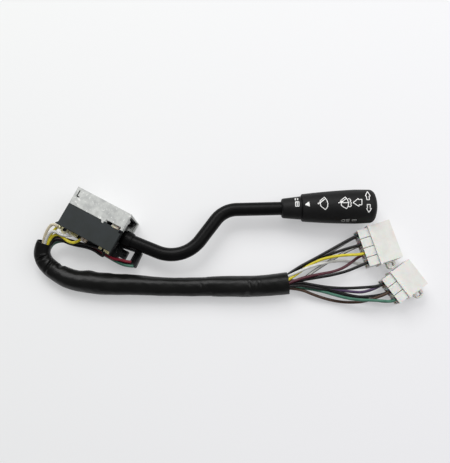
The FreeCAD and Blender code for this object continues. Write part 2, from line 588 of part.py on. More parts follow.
# Leaf spring under the inner end of the lever's tongue
def make_flash_spring():
    low = "axis_high - fork_deep/2"
    leaf = block("leaf_strip", ("pivot_x + hub_wide/2 + 0.6", f"{flash_x} + 2.6"),
                 ("pivot_y - tongue_wide/2 + 0.4", "pivot_y + tongue_wide/2 - 0.4"),
                 (f"{low} - 1.25", f"{low} - 0.75"))
    wing = block("leaf_wing", (f"{flash_x} - 1", f"{flash_x} + 2.6"),
                 ("pivot_y - tongue_wide/2 - slide_gap - fork_arm",
                  "pivot_y + tongue_wide/2 + slide_gap + fork_arm"),
                 (f"{low} - 1.25", f"{low} - 0.75"))
    lips = []
    for index, side in enumerate(("-1", "1")):
        middle = f"pivot_y + {side} * (tongue_wide/2 + slide_gap + fork_arm/2)"
        lips.append(block(f"leaf_lip_{index}", (f"{flash_x} - 1", f"{flash_x} + 2.6"),
                          (f"{middle} - fork_arm/2", f"{middle} + fork_arm/2"),
                          (f"{low} - 0.75", f"{low} - 0.05")))
    keep(join("leaf_join", leaf, wing, *lips), "flash_spring")


# Lever: knuckle at the root, S-bent tube, fixed collar
def make_lever_root():
    body = new_body("lever_knuckle")
    ball = "root_ball/2"
    start = f"{flash_x} + 4.2"
    centre = f"{flash_x} + 8.6"
    profile = sketch(body, "XZ_Plane", "-pivot_y")
    outline(profile, [
        (start, "axis_high"), (start, "axis_high + 3.8"), (centre, f"axis_high + {ball}"),
        (f"{root_end} - 0.6", f"axis_high + {ball}"), (f"{root_end} + 1.4", "axis_high + lever_dia/2 + 0.5"),
        (f"{root_end} + 1.4", "axis_high")],
        arcs={1: (False, f"{ball} * 1.0"), 3: (False, "2.6")})
    made = body.newObject("PartDesign::Revolution", "knuckle_revolution")
    made.Profile = profile
    axis = sketch(body, "XZ_Plane", "-pivot_y")
    outline(axis, [(start, "axis_high"), (f"{root_end} + 5", "axis_high")], closed=False)
    made.ReferenceAxis = (axis, ["Edge1"])
    made.Angle = 360
    doc.recompute()
    bore = sketch(body, "YZ_Plane", f"{root_end} + 3")
    disc(bore, "pivot_y", "axis_high", "lever_dia/2 + fit")
    pocket(body, bore, "tube_seat + 3.05")
    tongue = block("tongue_bar", (f"{flash_x} - 4.8", f"{flash_x} + 5.4"),
                   ("pivot_y - tongue_wide/2", "pivot_y + tongue_wide/2"), ("axis_high - 4", "axis_high + 4"))
    nose = rod("tongue_nose", (f"{flash_x} - 0.8", "pivot_y - tongue_wide/2", "axis_high"), "4",
               "tongue_wide", "y")
    trimmed = doc.addObject("Part::Common", "tongue_round")
    trimmed.Base = tongue
    trimmed.Tool = join("tongue_envelope", nose,
                        block("tongue_back", (f"{flash_x} - 0.8", f"{flash_x} + 6"),
                              ("pivot_y - tongue_wide/2", "pivot_y + tongue_wide/2"),
                              ("axis_high - 4", "axis_high + 4")))
    pin_hole = rod("tongue_hole", (flash_x, "pivot_y - 8", "axis_high"), "flash_pin/2 + fit", "16", "y")
    keep(cut("knuckle_cut", join("knuckle_join", body, trimmed), pin_hole), "lever_knuckle")


def make_lever_tube():
    body = new_body("lever_tube")
    start_x = f"{root_end} - tube_seat"
    tube_end_x = f"{joint_x} + tube_past_joint * cos(knob_yaw * 1deg)"
    tube_end_y = f"{joint_y} + tube_past_joint * sin(knob_yaw * 1deg)"
    low_trim = "low_bend * tan((cross_yaw - lever_yaw) * 0.5deg)"
    high_trim = "high_bend * tan((cross_yaw - knob_yaw) * 0.5deg)"
    kink_trim = "60 * tan(lever_yaw * 0.5deg)"
    spine = sketch(body, "XY_Plane", "axis_high")
    outline(spine, [
        (start_x, "pivot_y"),
        (f"{root_end} - {kink_trim}", "pivot_y"),
        (f"{root_end} + {kink_trim} * cos(lever_yaw * 1deg)",
         f"pivot_y + {kink_trim} * sin(lever_yaw * 1deg)"),
        (f"{low_corner_x} - {low_trim} * cos(lever_yaw * 1deg)",
         f"{low_corner_y} - {low_trim} * sin(lever_yaw * 1deg)"),
        (f"{low_corner_x} + {low_trim} * cos(cross_yaw * 1deg)",
         f"{low_corner_y} + {low_trim} * sin(cross_yaw * 1deg)"),
        (f"{high_corner_x} - {high_trim} * cos(cross_yaw * 1deg)",
         f"{high_corner_y} - {high_trim} * sin(cross_yaw * 1deg)"),
        (f"{high_corner_x} + {high_trim} * cos(knob_yaw * 1deg)",
         f"{high_corner_y} + {high_trim} * sin(knob_yaw * 1deg)"),
        (tube_end_x, tube_end_y)],
        arcs={1: (True, "60"), 3: (True, "low_bend"), 5: (False, "high_bend")}, closed=False)
    for kind, radius in (("PartDesign::AdditivePipe", "lever_dia/2"),
                         ("PartDesign::SubtractivePipe", "lever_bore/2")):
        ring = sketch(body, "YZ_Plane", start_x)
        disc(ring, "pivot_y", "axis_high", radius)
        pipe = body.newObject(kind, "tube_pipe")
        pipe.Profile = ring
        pipe.Spine = (spine, [f"Edge{index}" for index in range(1, 8)])
        doc.recompute()
    return keep(body, "lever_tube")


def make_collar():
    body = new_body("collar")
    small, large, neck = "collar_small/2", "collar_large/2", "neck_dia/2"
    bore = "lever_dia/2 + fit"
    profile = sketch(body, "XY_Plane")
    outline(profile, [
        ("-collar_long", bore), ("-collar_long", f"{small} - 2"), ("2 - collar_long", small), ("-0.5", large),
        ("-0.3", f"{large} - 0.2"), ("-0.3", neck), ("neck_long", neck), ("neck_long", "neck_dia/2 - 1.4"),
        ("-7", "neck_dia/2 - 1.4"), ("-7", bore)],
        arcs={1: (False, "2")})
    revolve(body, profile)
    return keep(on_knob_axis(body), "position_collar")


# Wiper switch inside the knob's mouth: fixed contact disc, rotor that turns with the knob, clip
def make_wiper_switch():
    disc_start, disc_long = "neck_long + 0.5", "5"
    solid = rod("contact_disc_solid", (disc_start, "0", "0"), "8.5", disc_long, "x")
    tube_hole = rod("contact_disc_hole", (f"{disc_start} - 1", "0", "0"), "lever_dia/2 + fit", "8", "x")
    holes, studs = [], []
    for index in range(4):
        angle = f"({45 + 90 * index} * 1deg)"
        spot = (f"{disc_start} + 1", f"6.9 * cos{angle}", f"6.9 * sin{angle}")
        holes.append(rod(f"stud_hole_{index}", spot, "0.85", "6", "x"))
        studs.append(rod(f"stud_{index}", (f"{disc_start} + 1.1", spot[1], spot[2]), "0.8",
                         f"{disc_long} - 1.1", "x"))
    keep(on_knob_axis(cut("contact_disc_cut", solid, tube_hole, *holes)), "wiper_contact_disc")
    keep(on_knob_axis(group("stud_group", *studs)), "wiper_studs")
    start = f"{disc_start} + {disc_long} + slide_gap"
    end = "tube_past_joint - 3"
    drum = rod("rotor_drum", (start, "0", "0"), "rotor_dia/2", f"{end} - ({start})", "x")
    keys = block("rotor_keys", (f"{start} + 4", end), ("-key_dia/2 + 0.2", "key_dia/2 - 0.2"),
                 ("-key_wide/2", "key_wide/2"))
    bore = rod("rotor_bore_tool", (f"{start} - 1", "0", "0"), "lever_dia/2 + slide_gap", "30", "x")
    groove = cut("rotor_groove", rod("rotor_groove_outer", (f"{start} - 1", "0", "0"), "7.9", "1.6", "x"),
                 rod("rotor_groove_inner", (f"{start} - 2", "0", "0"), "6.0", "4", "x"))
    keep(on_knob_axis(cut("rotor_cut", join("rotor_solid", drum, keys), bore, groove)), "wiper_rotor")
    ring = cut("rotor_ring_cut", rod("rotor_ring_outer", (f"{start} + 0.05", "0", "0"), "7.85", "0.5", "x"),
               rod("rotor_ring_inner", (f"{start} - 1", "0", "0"), "6.05", "4", "x"))
    keep(on_knob_axis(ring), "rotor_contact_ring")
    clip = cut("clip_ring_cut", rod("clip_ring_outer", (f"{end} + 0.2", "0", "0"), "7.3", "1", "x"),
               rod("clip_ring_inner", (f"{end} - 1", "0", "0"), "lever_dia/2 + fit", "4", "x"))
    keep(on_knob_axis(clip), "rotor_clip")
    plug = cut("seat_cut", rod("seat_plug", ("16", "0", "0"), "lever_bore/2 - 0.02",
                               "tube_past_joint - wash_travel - 16 + 0.6", "x"),
               rod("seat_way", ("15", "0", "0"), "1.9", "20", "x"))
    keep(on_knob_axis(plug), "spring_seat")


# Knob: tapered shell with a domed end, keyways for the rotor
def make_knob():
    body = new_body("knob")
    mouth, large, end = "knob_mouth/2", "knob_large/2", "knob_end_dia/2"
    profile = sketch(body, "XY_Plane")
    outline(profile, [
        ("0.2", "mouth_bore/2"), ("0.2", f"{mouth} - 0.4"), ("0.9", mouth), ("knob_taper", large),
        ("knob_long - 6.4", f"{large} - 0.3"), ("knob_long - 1.9", end), ("knob_long", "0.8"),
        ("knob_long", "0"),
        ("spring_deep", "0"), ("spring_deep", "spring_bore/2"), ("rotor_deep", "spring_bore/2"),
        ("rotor_deep", "rotor_bore/2"), ("mouth_deep", "rotor_bore/2"), ("mouth_deep", "mouth_bore/2")],
        arcs={2: (False, "620"), 4: (False, "5.2"), 5: (False, "24")})
    revolve(body, profile)
    for side in (-1, 1):
        keyway = sketch(body, "XZ_Plane", f"{side} * key_dia/2" if side > 0 else "-key_dia/2")
        rectangle(keyway, ("mouth_deep", "rotor_deep"), ("-key_wide/2 - slide_gap", "key_wide/2 + slide_gap"))
        pocket(body, keyway, "key_dia/2 - rotor_bore/2 + 1.5", with_normal=side < 0)
    return keep(on_knob_axis(body), "knob")


def coil(name, start, turns, pitch, radius, wire):
    """A round-wire compression spring along X, read from the sheet's values."""
    helix = Part.makeHelix(pitch, turns * pitch, radius)
    ring = Part.Wire([Part.makeCircle(wire / 2, V(radius, 0, 0), V(0, 1, 0))])
    solid = Part.Wire(helix).makePipeShell([ring], True, True)
    made = doc.addObject("Part::Feature", name)
    solid.rotate(V(), V(0, 1, 0), 90)
    solid.translate(V(start, 0, 0))
    made.Shape = solid
    return made


def make_wash_push():
    pin_start = "tube_past_joint + 0.6"
    stem = rod("wash_stem", (pin_start, "0", "0"), "1.5", f"spring_deep - ({pin_start})", "x")
    keep(on_knob_axis(group("wash_stem_group", stem)), "wash_contact_pin")
    wire = 0.8
    turns = 5
    start = number(pin_start) + wire / 2 + 0.2
    pitch = (number("spring_deep") - start - wire / 2 - 0.1) / turns
    keep(on_knob_axis(group("wash_coil_group", coil("wash_coil", start, turns, pitch, 2.45, wire))),
         "wash_spring")


def make_detent_spring():
    wire = 0.7
    turns = 4
    start = number("pivot_x - tail_reach + 5 + 0.1") + wire / 2
    end = number("pivot_x - pivot_pin/2 - 2.7") - wire / 2
    made = coil("detent_coil", start, turns, (end - start) / turns, number("detent_bore/2") - wire / 2 - 0.15,
                wire)
    keep(place(group("detent_coil_group", made), "0", "pivot_y", "axis_high"), "detent_spring")


# Multiway plug: a tower for each way at the wire side, one body with a latch at the mating side
def make_plug(label, columns, at):
    wide = f"({columns} * way_pitch + plug_wall)"
    low_row, high_row = "plug_deep/4 + 0.35", "plug_deep * 3/4 - 0.35"
    main = block(f"{label}_main", ("9", "plug_long"), (f"-{wide}/2", f"{wide}/2"), ("0", "plug_deep"))
    band = block(f"{label}_band", ("9", "10.6"), (f"-{wide}/2 - 0.7", f"{wide}/2 + 0.7"),
                 ("0", "plug_deep + 0.7"))
    towers, ways, slots, metal = [], [], [], []
    for column in range(columns):
        middle = f"(({columns} - 1)/2 - {column}) * way_pitch"
        for row, centre in enumerate((low_row, high_row)):
            tag = f"{label}_{column}_{row}"
            half = "way_open/2"
            towers.append(block(f"{tag}_tower", ("0", "9.5"),
                                (f"{middle} - {half} - plug_wall", f"{middle} + {half} + plug_wall"),
                                (f"{centre} - {half} - plug_wall", f"{centre} + {half} + plug_wall")))
            ways.append(block(f"{tag}_way", ("-1", "plug_long - 2"),
                              (f"{middle} - {half}", f"{middle} + {half}"),
                              (f"{centre} - {half}", f"{centre} + {half}")))
            slots.append(block(f"{tag}_slot", ("plug_long - 3", "plug_long + 1"),
                               (f"{middle} - 2.6", f"{middle} + 2.6"),
                               (f"{centre} - 0.6", f"{centre} + 0.6")))
            barrel = rod(f"{tag}_barrel", ("2.05", middle, centre), "1.5", "5.5", "x")
            blade = block(f"{tag}_blade", ("7", "plug_long - 2.2"), (f"{middle} - 2.4", f"{middle} + 2.4"),
                          (f"{centre} - 1.2", f"{centre} + 1.2"))
            metal.append(join(f"{tag}_metal", barrel, blade))
    arm = block(f"{label}_arm", ("15", "22.5"), (f"-{wide}/2 - 2.6", f"0.5 - {wide}/2"), ("5", "10.5"))
    hook = rod(f"{label}_hook", ("18.75", f"-{wide}/2 - 2.6", "5"), "3.75", "5.5")
    hollow = block(f"{label}_hollow", ("17", "20.5"), (f"-{wide}/2 - 4.4", f"-{wide}/2 - 1.2"), ("4", "12"))
    solid = join(f"{label}_solid", main, band, *towers, arm, hook)
    body = cut(f"{label}_cut", solid, *ways, *slots, hollow)
    x, y, yaw = at
    keep(place(body, x, y, "0", yaw=yaw), label)
    keep(place(group(f"{label}_metals", *metal), x, y, "0", yaw=yaw), f"{label}_contacts")


# Routes of the harness, chosen by eye: corner points of each sleeve or wire, in millimetres
SLEEVE = [(-32.6, -37.0, 12.0), (-28.6, -43.9, 9.8), (-20.6, -49.6, 7.9), (-9.8, -52.6, 7.6),
          (2.6, -50.6, 7.6), (15.2, -45.6, 7.6), (30.6, -40.4, 7.6), (52.0, -29.2, 7.6),
          (76.4, -18.6, 7.6), (101.0, -4.9, 7.6), (123.4, 7.4, 7.6), (143.4, 18.6, 7.8), (160.2, 30.5, 7.8)]
WIRES = {
    "wire_black_1": [(157.06, 34.97, 7.80), (163.3, 39.3, 7.8), (166.2, 51.8, 9.7), (173.5, 62.2, 10.3),
                     (180.3, 71.6, 12.2), (188.5, 85.6, 12.4), (194.7, 92.1, 12.4)],
    "wire_grey": [(157.84, 33.86, 5.40), (164.0, 38.2, 5.4), (167.0, 51.5, 2.6), (174.5, 61.8, 4.9),
                  (181.7, 71.5, 4.0), (188.5, 85.6, 4.6), (194.7, 92.1, 4.6)],
    "wire_black_2": [(158.6, 32.8, 7.8), (164.8, 37.0, 7.8), (169.0, 50.3, 5.2), (174.4, 62.2, 7.6),
                     (181.8, 70.8, 10.3), (194.2, 80.1, 12.4), (200.4, 86.6, 12.4)],
    "wire_striped": [(159.43, 31.62, 5.40), (165.6, 35.9, 5.4), (171.7, 41.6, 5.0), (178.3, 54.6, 3.5),
                     (184.7, 67.5, 3.5), (194.2, 80.1, 4.6), (200.4, 86.6, 4.6)],
    "wire_yellow": [(159.43, 31.62, 10.20), (165.6, 35.9, 10.2), (167.9, 45.6, 9.0), (172.5, 56.2, 8.4),
                    (180.2, 64.3, 11.3), (190.3, 71.4, 12.4), (199.8, 74.6, 12.4), (206.1, 81.1, 12.4)],
    "wire_maroon": [(161.0, 29.4, 10.2), (167.2, 33.6, 10.2), (172.6, 41.6, 9.2), (180.6, 48.5, 8.2),
                    (188.8, 56.9, 7.6), (196.9, 66.1, 7.1), (199.8, 74.6, 4.6), (206.1, 81.1, 4.6)],
    "wire_white": [(157.84, 33.86, 10.20), (164.0, 38.2, 10.2), (165.2, 45.3, 14.4), (176.1, 56.0, 9.4),
                   (185.8, 64.8, 5.0), (196.4, 69.9, 2.9), (205.5, 69.1, 4.6), (211.8, 75.6, 4.6)],
    "wire_black_3": [(160.22, 30.51, 7.80), (166.4, 34.8, 7.8), (172.5, 39.2, 6.4), (181.9, 46.2, 7.4),
                     (190.2, 53.4, 9.5), (198.0, 61.2, 12.0), (205.5, 69.1, 12.4), (211.8, 75.6, 12.4)],
    "wire_black_4": [(161.84, 28.23, 7.80), (167.9, 32.5, 7.8), (173.8, 37.7, 9.0), (184.1, 40.9, 10.2),
                     (194.8, 43.9, 12.0), (205.1, 48.4, 12.4), (214.2, 53.9, 12.4), (226.3, 58.0, 12.4),
                     (230.2, 66.1, 12.4)],
    "wire_violet": [(161.84, 28.23, 3.00), (167.9, 32.5, 3.0), (176.9, 38.3, 3.0), (189.3, 41.3, 3.5),
                    (204.6, 47.5, 4.0), (215.3, 53.4, 4.5), (226.3, 58.0, 4.6), (230.2, 66.1, 4.6)],
    "wire_black_5": [(162.59, 27.16, 10.20), (168.7, 31.4, 10.2), (174.4, 35.5, 12.1), (185.3, 38.5, 9.2),
                     (199.1, 42.5, 7.0), (211.5, 48.0, 5.1), (220.9, 53.1, 5.3), (233.4, 54.6, 4.6),
                     (237.3, 62.7, 4.6)],
    "wire_brown": [(163.37, 26.05, 7.80), (169.5, 30.2, 7.8), (176.9, 31.2, 7.8), (188.6, 33.7, 4.1),
                   (200.3, 36.1, 3.0), (212.6, 40.5, 4.0), (223.0, 46.6, 8.7), (233.4, 54.6, 12.4),
                   (237.3, 62.7, 12.4)],
    "wire_black_6": [(161.0, 29.4, 5.4), (167.2, 33.6, 5.4), (177.7, 36.7, 6.1), (191.2, 39.3, 4.3),
                     (204.5, 43.1, 3.9), (215.7, 47.2, 3.8), (225.3, 51.7, 3.7), (240.5, 51.1, 4.6),
                     (244.4, 59.2, 4.6)],
    "wire_green": [(162.59, 27.16, 5.40), (168.7, 31.4, 5.4), (175.5, 33.3, 5.4), (186.8, 36.3, 7.2),
                   (197.6, 39.3, 9.0), (208.5, 42.1, 11.0), (217.7, 45.0, 12.1), (226.6, 48.6, 12.7),
                   (240.5, 51.1, 12.4), (244.4, 59.2, 12.4)],
    "lead_cream": [(-37.32, -39.65, 11.79), (-40.4, -33.2, 13.3), (-39.8, -26.2, 17.0),
                   (-35.6, -18.9, 20.5), (-28.6, -15.0, 22.2), (-21.6, -15.9, 22.1)],
    "lead_white": [(-35.83, -39.48, 13.99), (-38.0, -32.3, 15.6), (-36.4, -25.3, 19.4),
                   (-32.0, -21.4, 22.8), (-26.0, -21.9, 24.0), (-20.0, -22.4, 23.6),
                   (-15.10, -18.20, 21.65)],
    "lead_yellow_1": [(-31.69, -43.36, 14.89), (-34.11, -39.19, 16.22), (-35.6, -32.2, 17.4),
                      (-33.6, -26.6, 18.4),
                      (-30.6, -21.2, 20.2), (-25.60, -18.30, 21.65)],
    "lead_yellow_2": [(-31.79, -37.90, 16.38), (-32.8, -31.4, 17.8), (-30.0, -26.0, 19.8),
                      (-24.2, -23.6, 21.0), (-17.1, -24.6, 20.9), (-10.0, -24.2, 21.4), (-3.8, -18.3, 21.7)],
    "lead_black_2": [(-31.08, -36.81, 14.23), (-31.9, -31.4, 15.2), (-28.4, -27.2, 16.4),
                     (-21.5, -23.9, 17.9), (-13.0, -23.2, 18.3), (-4.0, -23.2, 18.6), (4.0, -22.5, 20.6),
                     (12.2, -18.2, 21.8)],
    "lead_black_1": [(-30.13, -35.58, 12.09), (-31.2, -31.2, 12.6), (-28.7, -28.0, 13.2),
                     (-23.6, -26.4, 14.0), (-14.0, -25.4, 15.4), (-5.0, -24.4, 15.8), (5.0, -23.4, 16.8),
                     (12.0, -22.6, 20.2), (17.2, -18.9, 21.9)],
    "lead_green": [(-28.79, -34.12, 9.99), (-29.3, -30.2, 8.6), (-27.2, -27.0, 7.6), (-22.5, -26.2, 7.6),
                   (-14.0, -27.4, 9.4), (-3.0, -27.5, 11.4), (8.0, -26.1, 11.2), (19.0, -24.0, 10.0),
                   (30.7, -20.6, 9.3), (41.40, -17.20, 8.85)],
    "lead_crimson": [(-31.80, -35.81, 9.80), (-32.4, -31.0, 10.0), (-29.6, -27.0, 10.3),
                     (-24.6, -24.9, 10.8), (-16.0, -23.9, 11.4), (-4.0, -23.0, 12.0), (8.0, -22.5, 11.4),
                     (20.4, -20.9, 10.5), (30.0, -16.0, 9.9), (38.90, -14.50, 8.85)],
}
ARC_SHARE = 0.45
# The casting's length and width for which the leads' routes were drawn
DRAWN_LONG = 49.0
DRAWN_WIDE = 34.0
IN_GUIDE = ("lead_green", "lead_crimson")


def follow(label, route):
    """A lead's route whose far end keeps to its terminal or to the guide, and whose near end stays."""
    if not label.startswith("lead_"):
        return route
    x_move = (number("body_long") - DRAWN_LONG) / 2 if label in IN_GUIDE else 0.0
    y_move = 0.0 if label in IN_GUIDE else (DRAWN_WIDE - number("body_wide")) / 2
    last = len(route) - 1
    return [(x + x_move * i / last, y + y_move * i / last, z) for i, (x, y, z) in enumerate(route)]


def cord_path(route):
    """Straight runs joined by tangent arcs, each as large as its two runs allow."""
    points = [V(*point) for point in route]
    edges, radii = [], []
    last = points[0]
    for before, corner, after in zip(points, points[1:], points[2:]):
        back_run, next_run = before - corner, after - corner
        trim = ARC_SHARE * min(back_run.Length, next_run.Length)
        turn = math.pi - back_run.getAngle(next_run)
        start = corner + V(back_run).normalize() * trim
        end = corner + V(next_run).normalize() * trim
        bisector = (V(back_run).normalize() + V(next_run).normalize()).normalize()
        radius = trim / math.tan(turn / 2)
        middle = corner + bisector * (radius / math.cos(turn / 2) - radius)
        edges.append(Part.LineSegment(last, start).toShape())
        edges.append(Part.Arc(start, middle, end).toShape())
        radii.append(radius)
        last = end
    edges.append(Part.LineSegment(last, points[-1]).toShape())
    return Part.Wire(edges), radii


def make_cord(label, route, diameter):
    path, radii = cord_path(route)
    along = V(*route[1]) - V(*route[0])
    ring = Part.Wire([Part.makeCircle(diameter / 2, V(*route[0]), along)])
    solid = path.makePipeShell([ring], True, False)
    made = doc.addObject("Part::Feature", label + "_tube")
    made.Shape = solid
    made.Placement = FreeCAD.Placement()
    share = solid.Volume / (math.pi * diameter ** 2 / 4 * path.Length)
    print(f"{label}: length {path.Length:.1f}, smallest radius {min(radii):.1f}, volume share {share:.4f}")
    return keep(made, label)


make_housing()
make_cover_plate()
make_switch_base()
make_terminals()
make_wire_guide()
make_fixed_mechanism()
make_carrier()
make_flash_spring()
make_detent_spring()
make_lever_root()
make_lever_tube()
make_collar()
make_wiper_switch()
make_knob()
make_wash_push()
make_plug("plug_eight_way", 4, ("plug_eight_x", "plug_eight_y", "plug_eight_yaw"))
make_plug("plug_six_way", 3, ("plug_six_x", "plug_six_y", "plug_six_yaw"))
make_cord("harness_sleeve", SLEEVE, number("sleeve_dia"))
for wire_label, wire_route in WIRES.items():
    make_cord(wire_label, follow(wire_label, wire_route), number("wire_dia"))
doc.recompute()

# Nothing is written unless every feature and every piece is sound
failed = [thing.Name for thing in doc.Objects if "Invalid" in thing.State or "Error" in thing.State]
failed += [label for label, thing in pieces.items() if thing.Shape.isNull() or not thing.Shape.isValid()]
if failed:
    raise SystemExit(f"not sound: {failed}")
os.makedirs("parts", exist_ok=True)
for label, thing in pieces.items():
    thing.Shape.exportStep(f"parts/{label}.step")
print(f"{len(pieces)} pieces, {sum(len(thing.Shape.Solids) for thing in pieces.values())} solids")
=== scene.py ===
import logging
import math
from dataclasses import dataclass, field
from enum import Enum
from typing import Callable, Optional, Sequence

import bmesh
import bpy
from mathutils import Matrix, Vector, noise
from mathutils.bvhtree import BVHTree


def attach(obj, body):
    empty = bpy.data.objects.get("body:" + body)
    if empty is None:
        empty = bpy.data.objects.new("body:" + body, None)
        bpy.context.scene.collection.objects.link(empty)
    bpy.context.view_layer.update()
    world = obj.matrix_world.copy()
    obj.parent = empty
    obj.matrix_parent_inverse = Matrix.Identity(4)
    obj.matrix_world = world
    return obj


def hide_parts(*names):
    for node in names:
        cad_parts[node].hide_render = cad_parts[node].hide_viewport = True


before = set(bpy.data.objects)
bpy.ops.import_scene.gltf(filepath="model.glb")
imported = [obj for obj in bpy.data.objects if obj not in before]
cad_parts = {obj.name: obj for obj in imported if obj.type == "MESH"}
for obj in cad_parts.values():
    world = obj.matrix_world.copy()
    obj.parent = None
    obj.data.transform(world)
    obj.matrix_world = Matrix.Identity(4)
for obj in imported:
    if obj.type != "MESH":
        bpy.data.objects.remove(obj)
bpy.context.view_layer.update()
log = logging.getLogger("stalk_switch")

MM = 0.001
# Corners nearer than this many metres are one, and faces within this many degrees are flat
MERGE = 2e-6
FLAT = 0.6
Point = tuple[float, float, float]
Spot = tuple[float, float]
# The root of the knob on the lever's axis, in millimetres, and the way it points seen from above
JOINT = Vector((141.8168, 88.8549, 15.5))
KNOB_YAW = math.radians(29.3)


class Body(Enum):
    """The moving bodies that a piece can ride on."""
    BASE = "base"
    CARRIER = "carrier"
    LEVER = "lever"
    KNOB = "push_knob"


class FarEnd(Enum):
    """Where a free wire ends."""
    CONNECTOR = "connector"
    OBJECT = "object"


class Pattern(Enum):
    """How a finish varies over its surface."""
    GRAIN = "grain"
    CAST = "cast"
    BRUSHED = "brushed"
    SMEARED = "smeared"


# How each pattern stretches the noise along X, Y and Z
STRETCH = {Pattern.BRUSHED: (1.0, 1.0, 9.0), Pattern.SMEARED: (0.35, 1.0, 1.0)}


def linear(code: str) -> tuple[float, float, float, float]:
    """Turns an sRGB hex colour to linear.

    Args:
        code: six hex digits after a hash sign.

    Returns:
        Red, green, blue and an alpha of one.
    """
    parts = [int(code[i:i + 2], 16) / 255 for i in (1, 3, 5)]
    red, green, blue = [p / 12.92 if p <= 0.04045 else ((p + 0.055) / 1.055) ** 2.4 for p in parts]
    return red, green, blue, 1.0


def add_node(tree: bpy.types.NodeTree, kind: str, values: Optional[dict] = None,
             links: Optional[dict] = None, **settings: object) -> bpy.types.Node:
    """Adds one node with its settings, socket values and links.

    Args:
        tree: the material's node tree.
        kind: the node's type name after ShaderNode.
        values: input socket to constant.
        links: input socket to the output socket that feeds it.
        settings: attributes of the node.

    Returns:
        The new node.
    """
    node = tree.nodes.new("ShaderNode" + kind)
    for key, value in settings.items():
        setattr(node, key, value)
    for key, value in (values or {}).items():
        node.inputs[key].default_value = value
    for key, source in (links or {}).items():
        tree.links.new(source, node.inputs[key])
    return node


@dataclass(frozen=True)
class Finish:
    """One real material and how its surface was made.

    Colours are sRGB hex, sizes are real millimetres, and depth is the bump's height in millimetres.
    """
    name: str
    colour: str
    shade: str
    patch: float
    grain: float
    depth: float
    rough: tuple[float, float]
    metallic: float = 0.0
    glow: float = 0.0
    reach: float = 2.0
    mirror: float = 0.5
    pattern: Pattern = Pattern.GRAIN
    scuff: str = ""

    def material(self) -> bpy.types.Material:
        """Builds the node material, once.

        Returns:
            The material of that name.
        """
        if self.name in bpy.data.materials:
            return bpy.data.materials[self.name]
        made = bpy.data.materials.new(self.name)
        made.use_nodes = True
        tree = made.node_tree
        tree.nodes.clear()
        place = add_node(tree, "TexCoord").outputs["Object"]
        stretch = STRETCH.get(self.pattern, (1.0, 1.0, 1.0))
        grid = add_node(tree, "Mapping", {"Scale": stretch}, {"Vector": place}).outputs["Vector"]
        patches = add_node(tree, "TexNoise", {"Scale": 1 / (self.patch * MM), "Detail": 5.0, "Roughness": 0.6},
                           {"Vector": grid})
        spread = add_node(tree, "MapRange", {"From Min": 0.32, "From Max": 0.68}, {"Value": patches.outputs[0]})
        base = add_node(tree, "Mix", {6: linear(self.colour), 7: linear(self.shade)}, {0: spread.outputs[0]},
                        data_type="RGBA")
        colour = base.outputs[2]
        fine = add_node(tree, "TexNoise", {"Scale": 1 / (self.grain * MM), "Detail": 3.0, "Roughness": 0.55},
                        {"Vector": grid})
        height = fine.outputs[0]
        if self.pattern is Pattern.CAST:
            pits = add_node(tree, "TexVoronoi", {"Scale": 1 / (self.grain * 3.2 * MM)}, {"Vector": place})
            deep = add_node(tree, "MapRange", {"From Min": 0.0, "From Max": 0.35},
                            {"Value": pits.outputs["Distance"]})
            both = add_node(tree, "Math", {1: 0.5}, {0: deep.outputs[0], 2: height}, operation="MULTIPLY_ADD")
            height = both.outputs[0]
        if self.scuff:
            marks = add_node(tree, "TexNoise", {"Scale": 1 / (self.patch * 0.45 * MM), "Detail": 6.0,
                                                "Distortion": 0.8}, {"Vector": place})
            few = add_node(tree, "MapRange", {"From Min": 0.60, "From Max": 0.70}, {"Value": marks.outputs[0]})
            colour = add_node(tree, "Mix", {7: linear(self.scuff)}, {0: few.outputs[0], 6: colour},
                              data_type="RGBA").outputs[2]
        rough = add_node(tree, "MapRange", {"To Min": self.rough[0], "To Max": self.rough[1]},
                         {"Value": patches.outputs[0]})
        bump = add_node(tree, "Bump", {"Strength": 0.6, "Distance": self.depth * MM}, {"Height": height})
        shader = add_node(tree, "BsdfPrincipled",
                          {"Metallic": self.metallic, "Subsurface Weight": self.glow,
                           "Subsurface Scale": self.reach * MM, "Specular IOR Level": self.mirror},
                          {"Base Color": colour, "Roughness": rough.outputs[0], "Normal": bump.outputs[0]})
        add_node(tree, "OutputMaterial", links={"Surface": shader.outputs[0]})
        made.diffuse_color = linear(self.colour)
        return made


# Die-cast zinc: chill marks and fine pits, a matte light grey with brighter rubbed spots
ZINC = Finish("zinc_die_cast", "#c4c6c2", "#a6a8a6", 5.0, 0.5, 0.12, (0.42, 0.62), metallic=0.35,
              pattern=Pattern.CAST, scuff="#dfe0dc")
# Glass-filled nylon, spark-eroded mould: dull black with a soft grey bloom
MOULDING = Finish("nylon_black_moulded", "#141516", "#1c1e1f", 6.0, 0.5, 0.05, (0.45, 0.6), mirror=0.25)
# Phenolic cover sheet, pressed: dark greenish slate, slightly bluer in the middle
COVER = Finish("phenolic_cover_pressed", "#212624", "#292e30", 13.0, 0.6, 0.04, (0.45, 0.6), mirror=0.3)
# Brass strip, stamped and tin-dipped: pale yellow with a soft gloss
BRASS = Finish("brass_tinned_stamped", "#fdf9d6", "#efe8b0", 3.0, 0.3, 0.03, (0.26, 0.4), metallic=0.1)
# The crimp's copper alloy has a pinker tone
COPPER = Finish("copper_alloy_crimp", "#fbeed8", "#efd9bd", 2.5, 0.3, 0.03, (0.28, 0.42), metallic=0.1)
# Ground mild steel of the pins
STEEL = Finish("steel_ground", "#c3c5c7", "#a9acae", 4.0, 0.3, 0.02, (0.2, 0.32), metallic=1.0,
               pattern=Pattern.BRUSHED)
# Drawn music wire of the springs
SPRING = Finish("steel_spring_drawn", "#8d9092", "#74777a", 2.0, 0.25, 0.02, (0.24, 0.36), metallic=1.0)
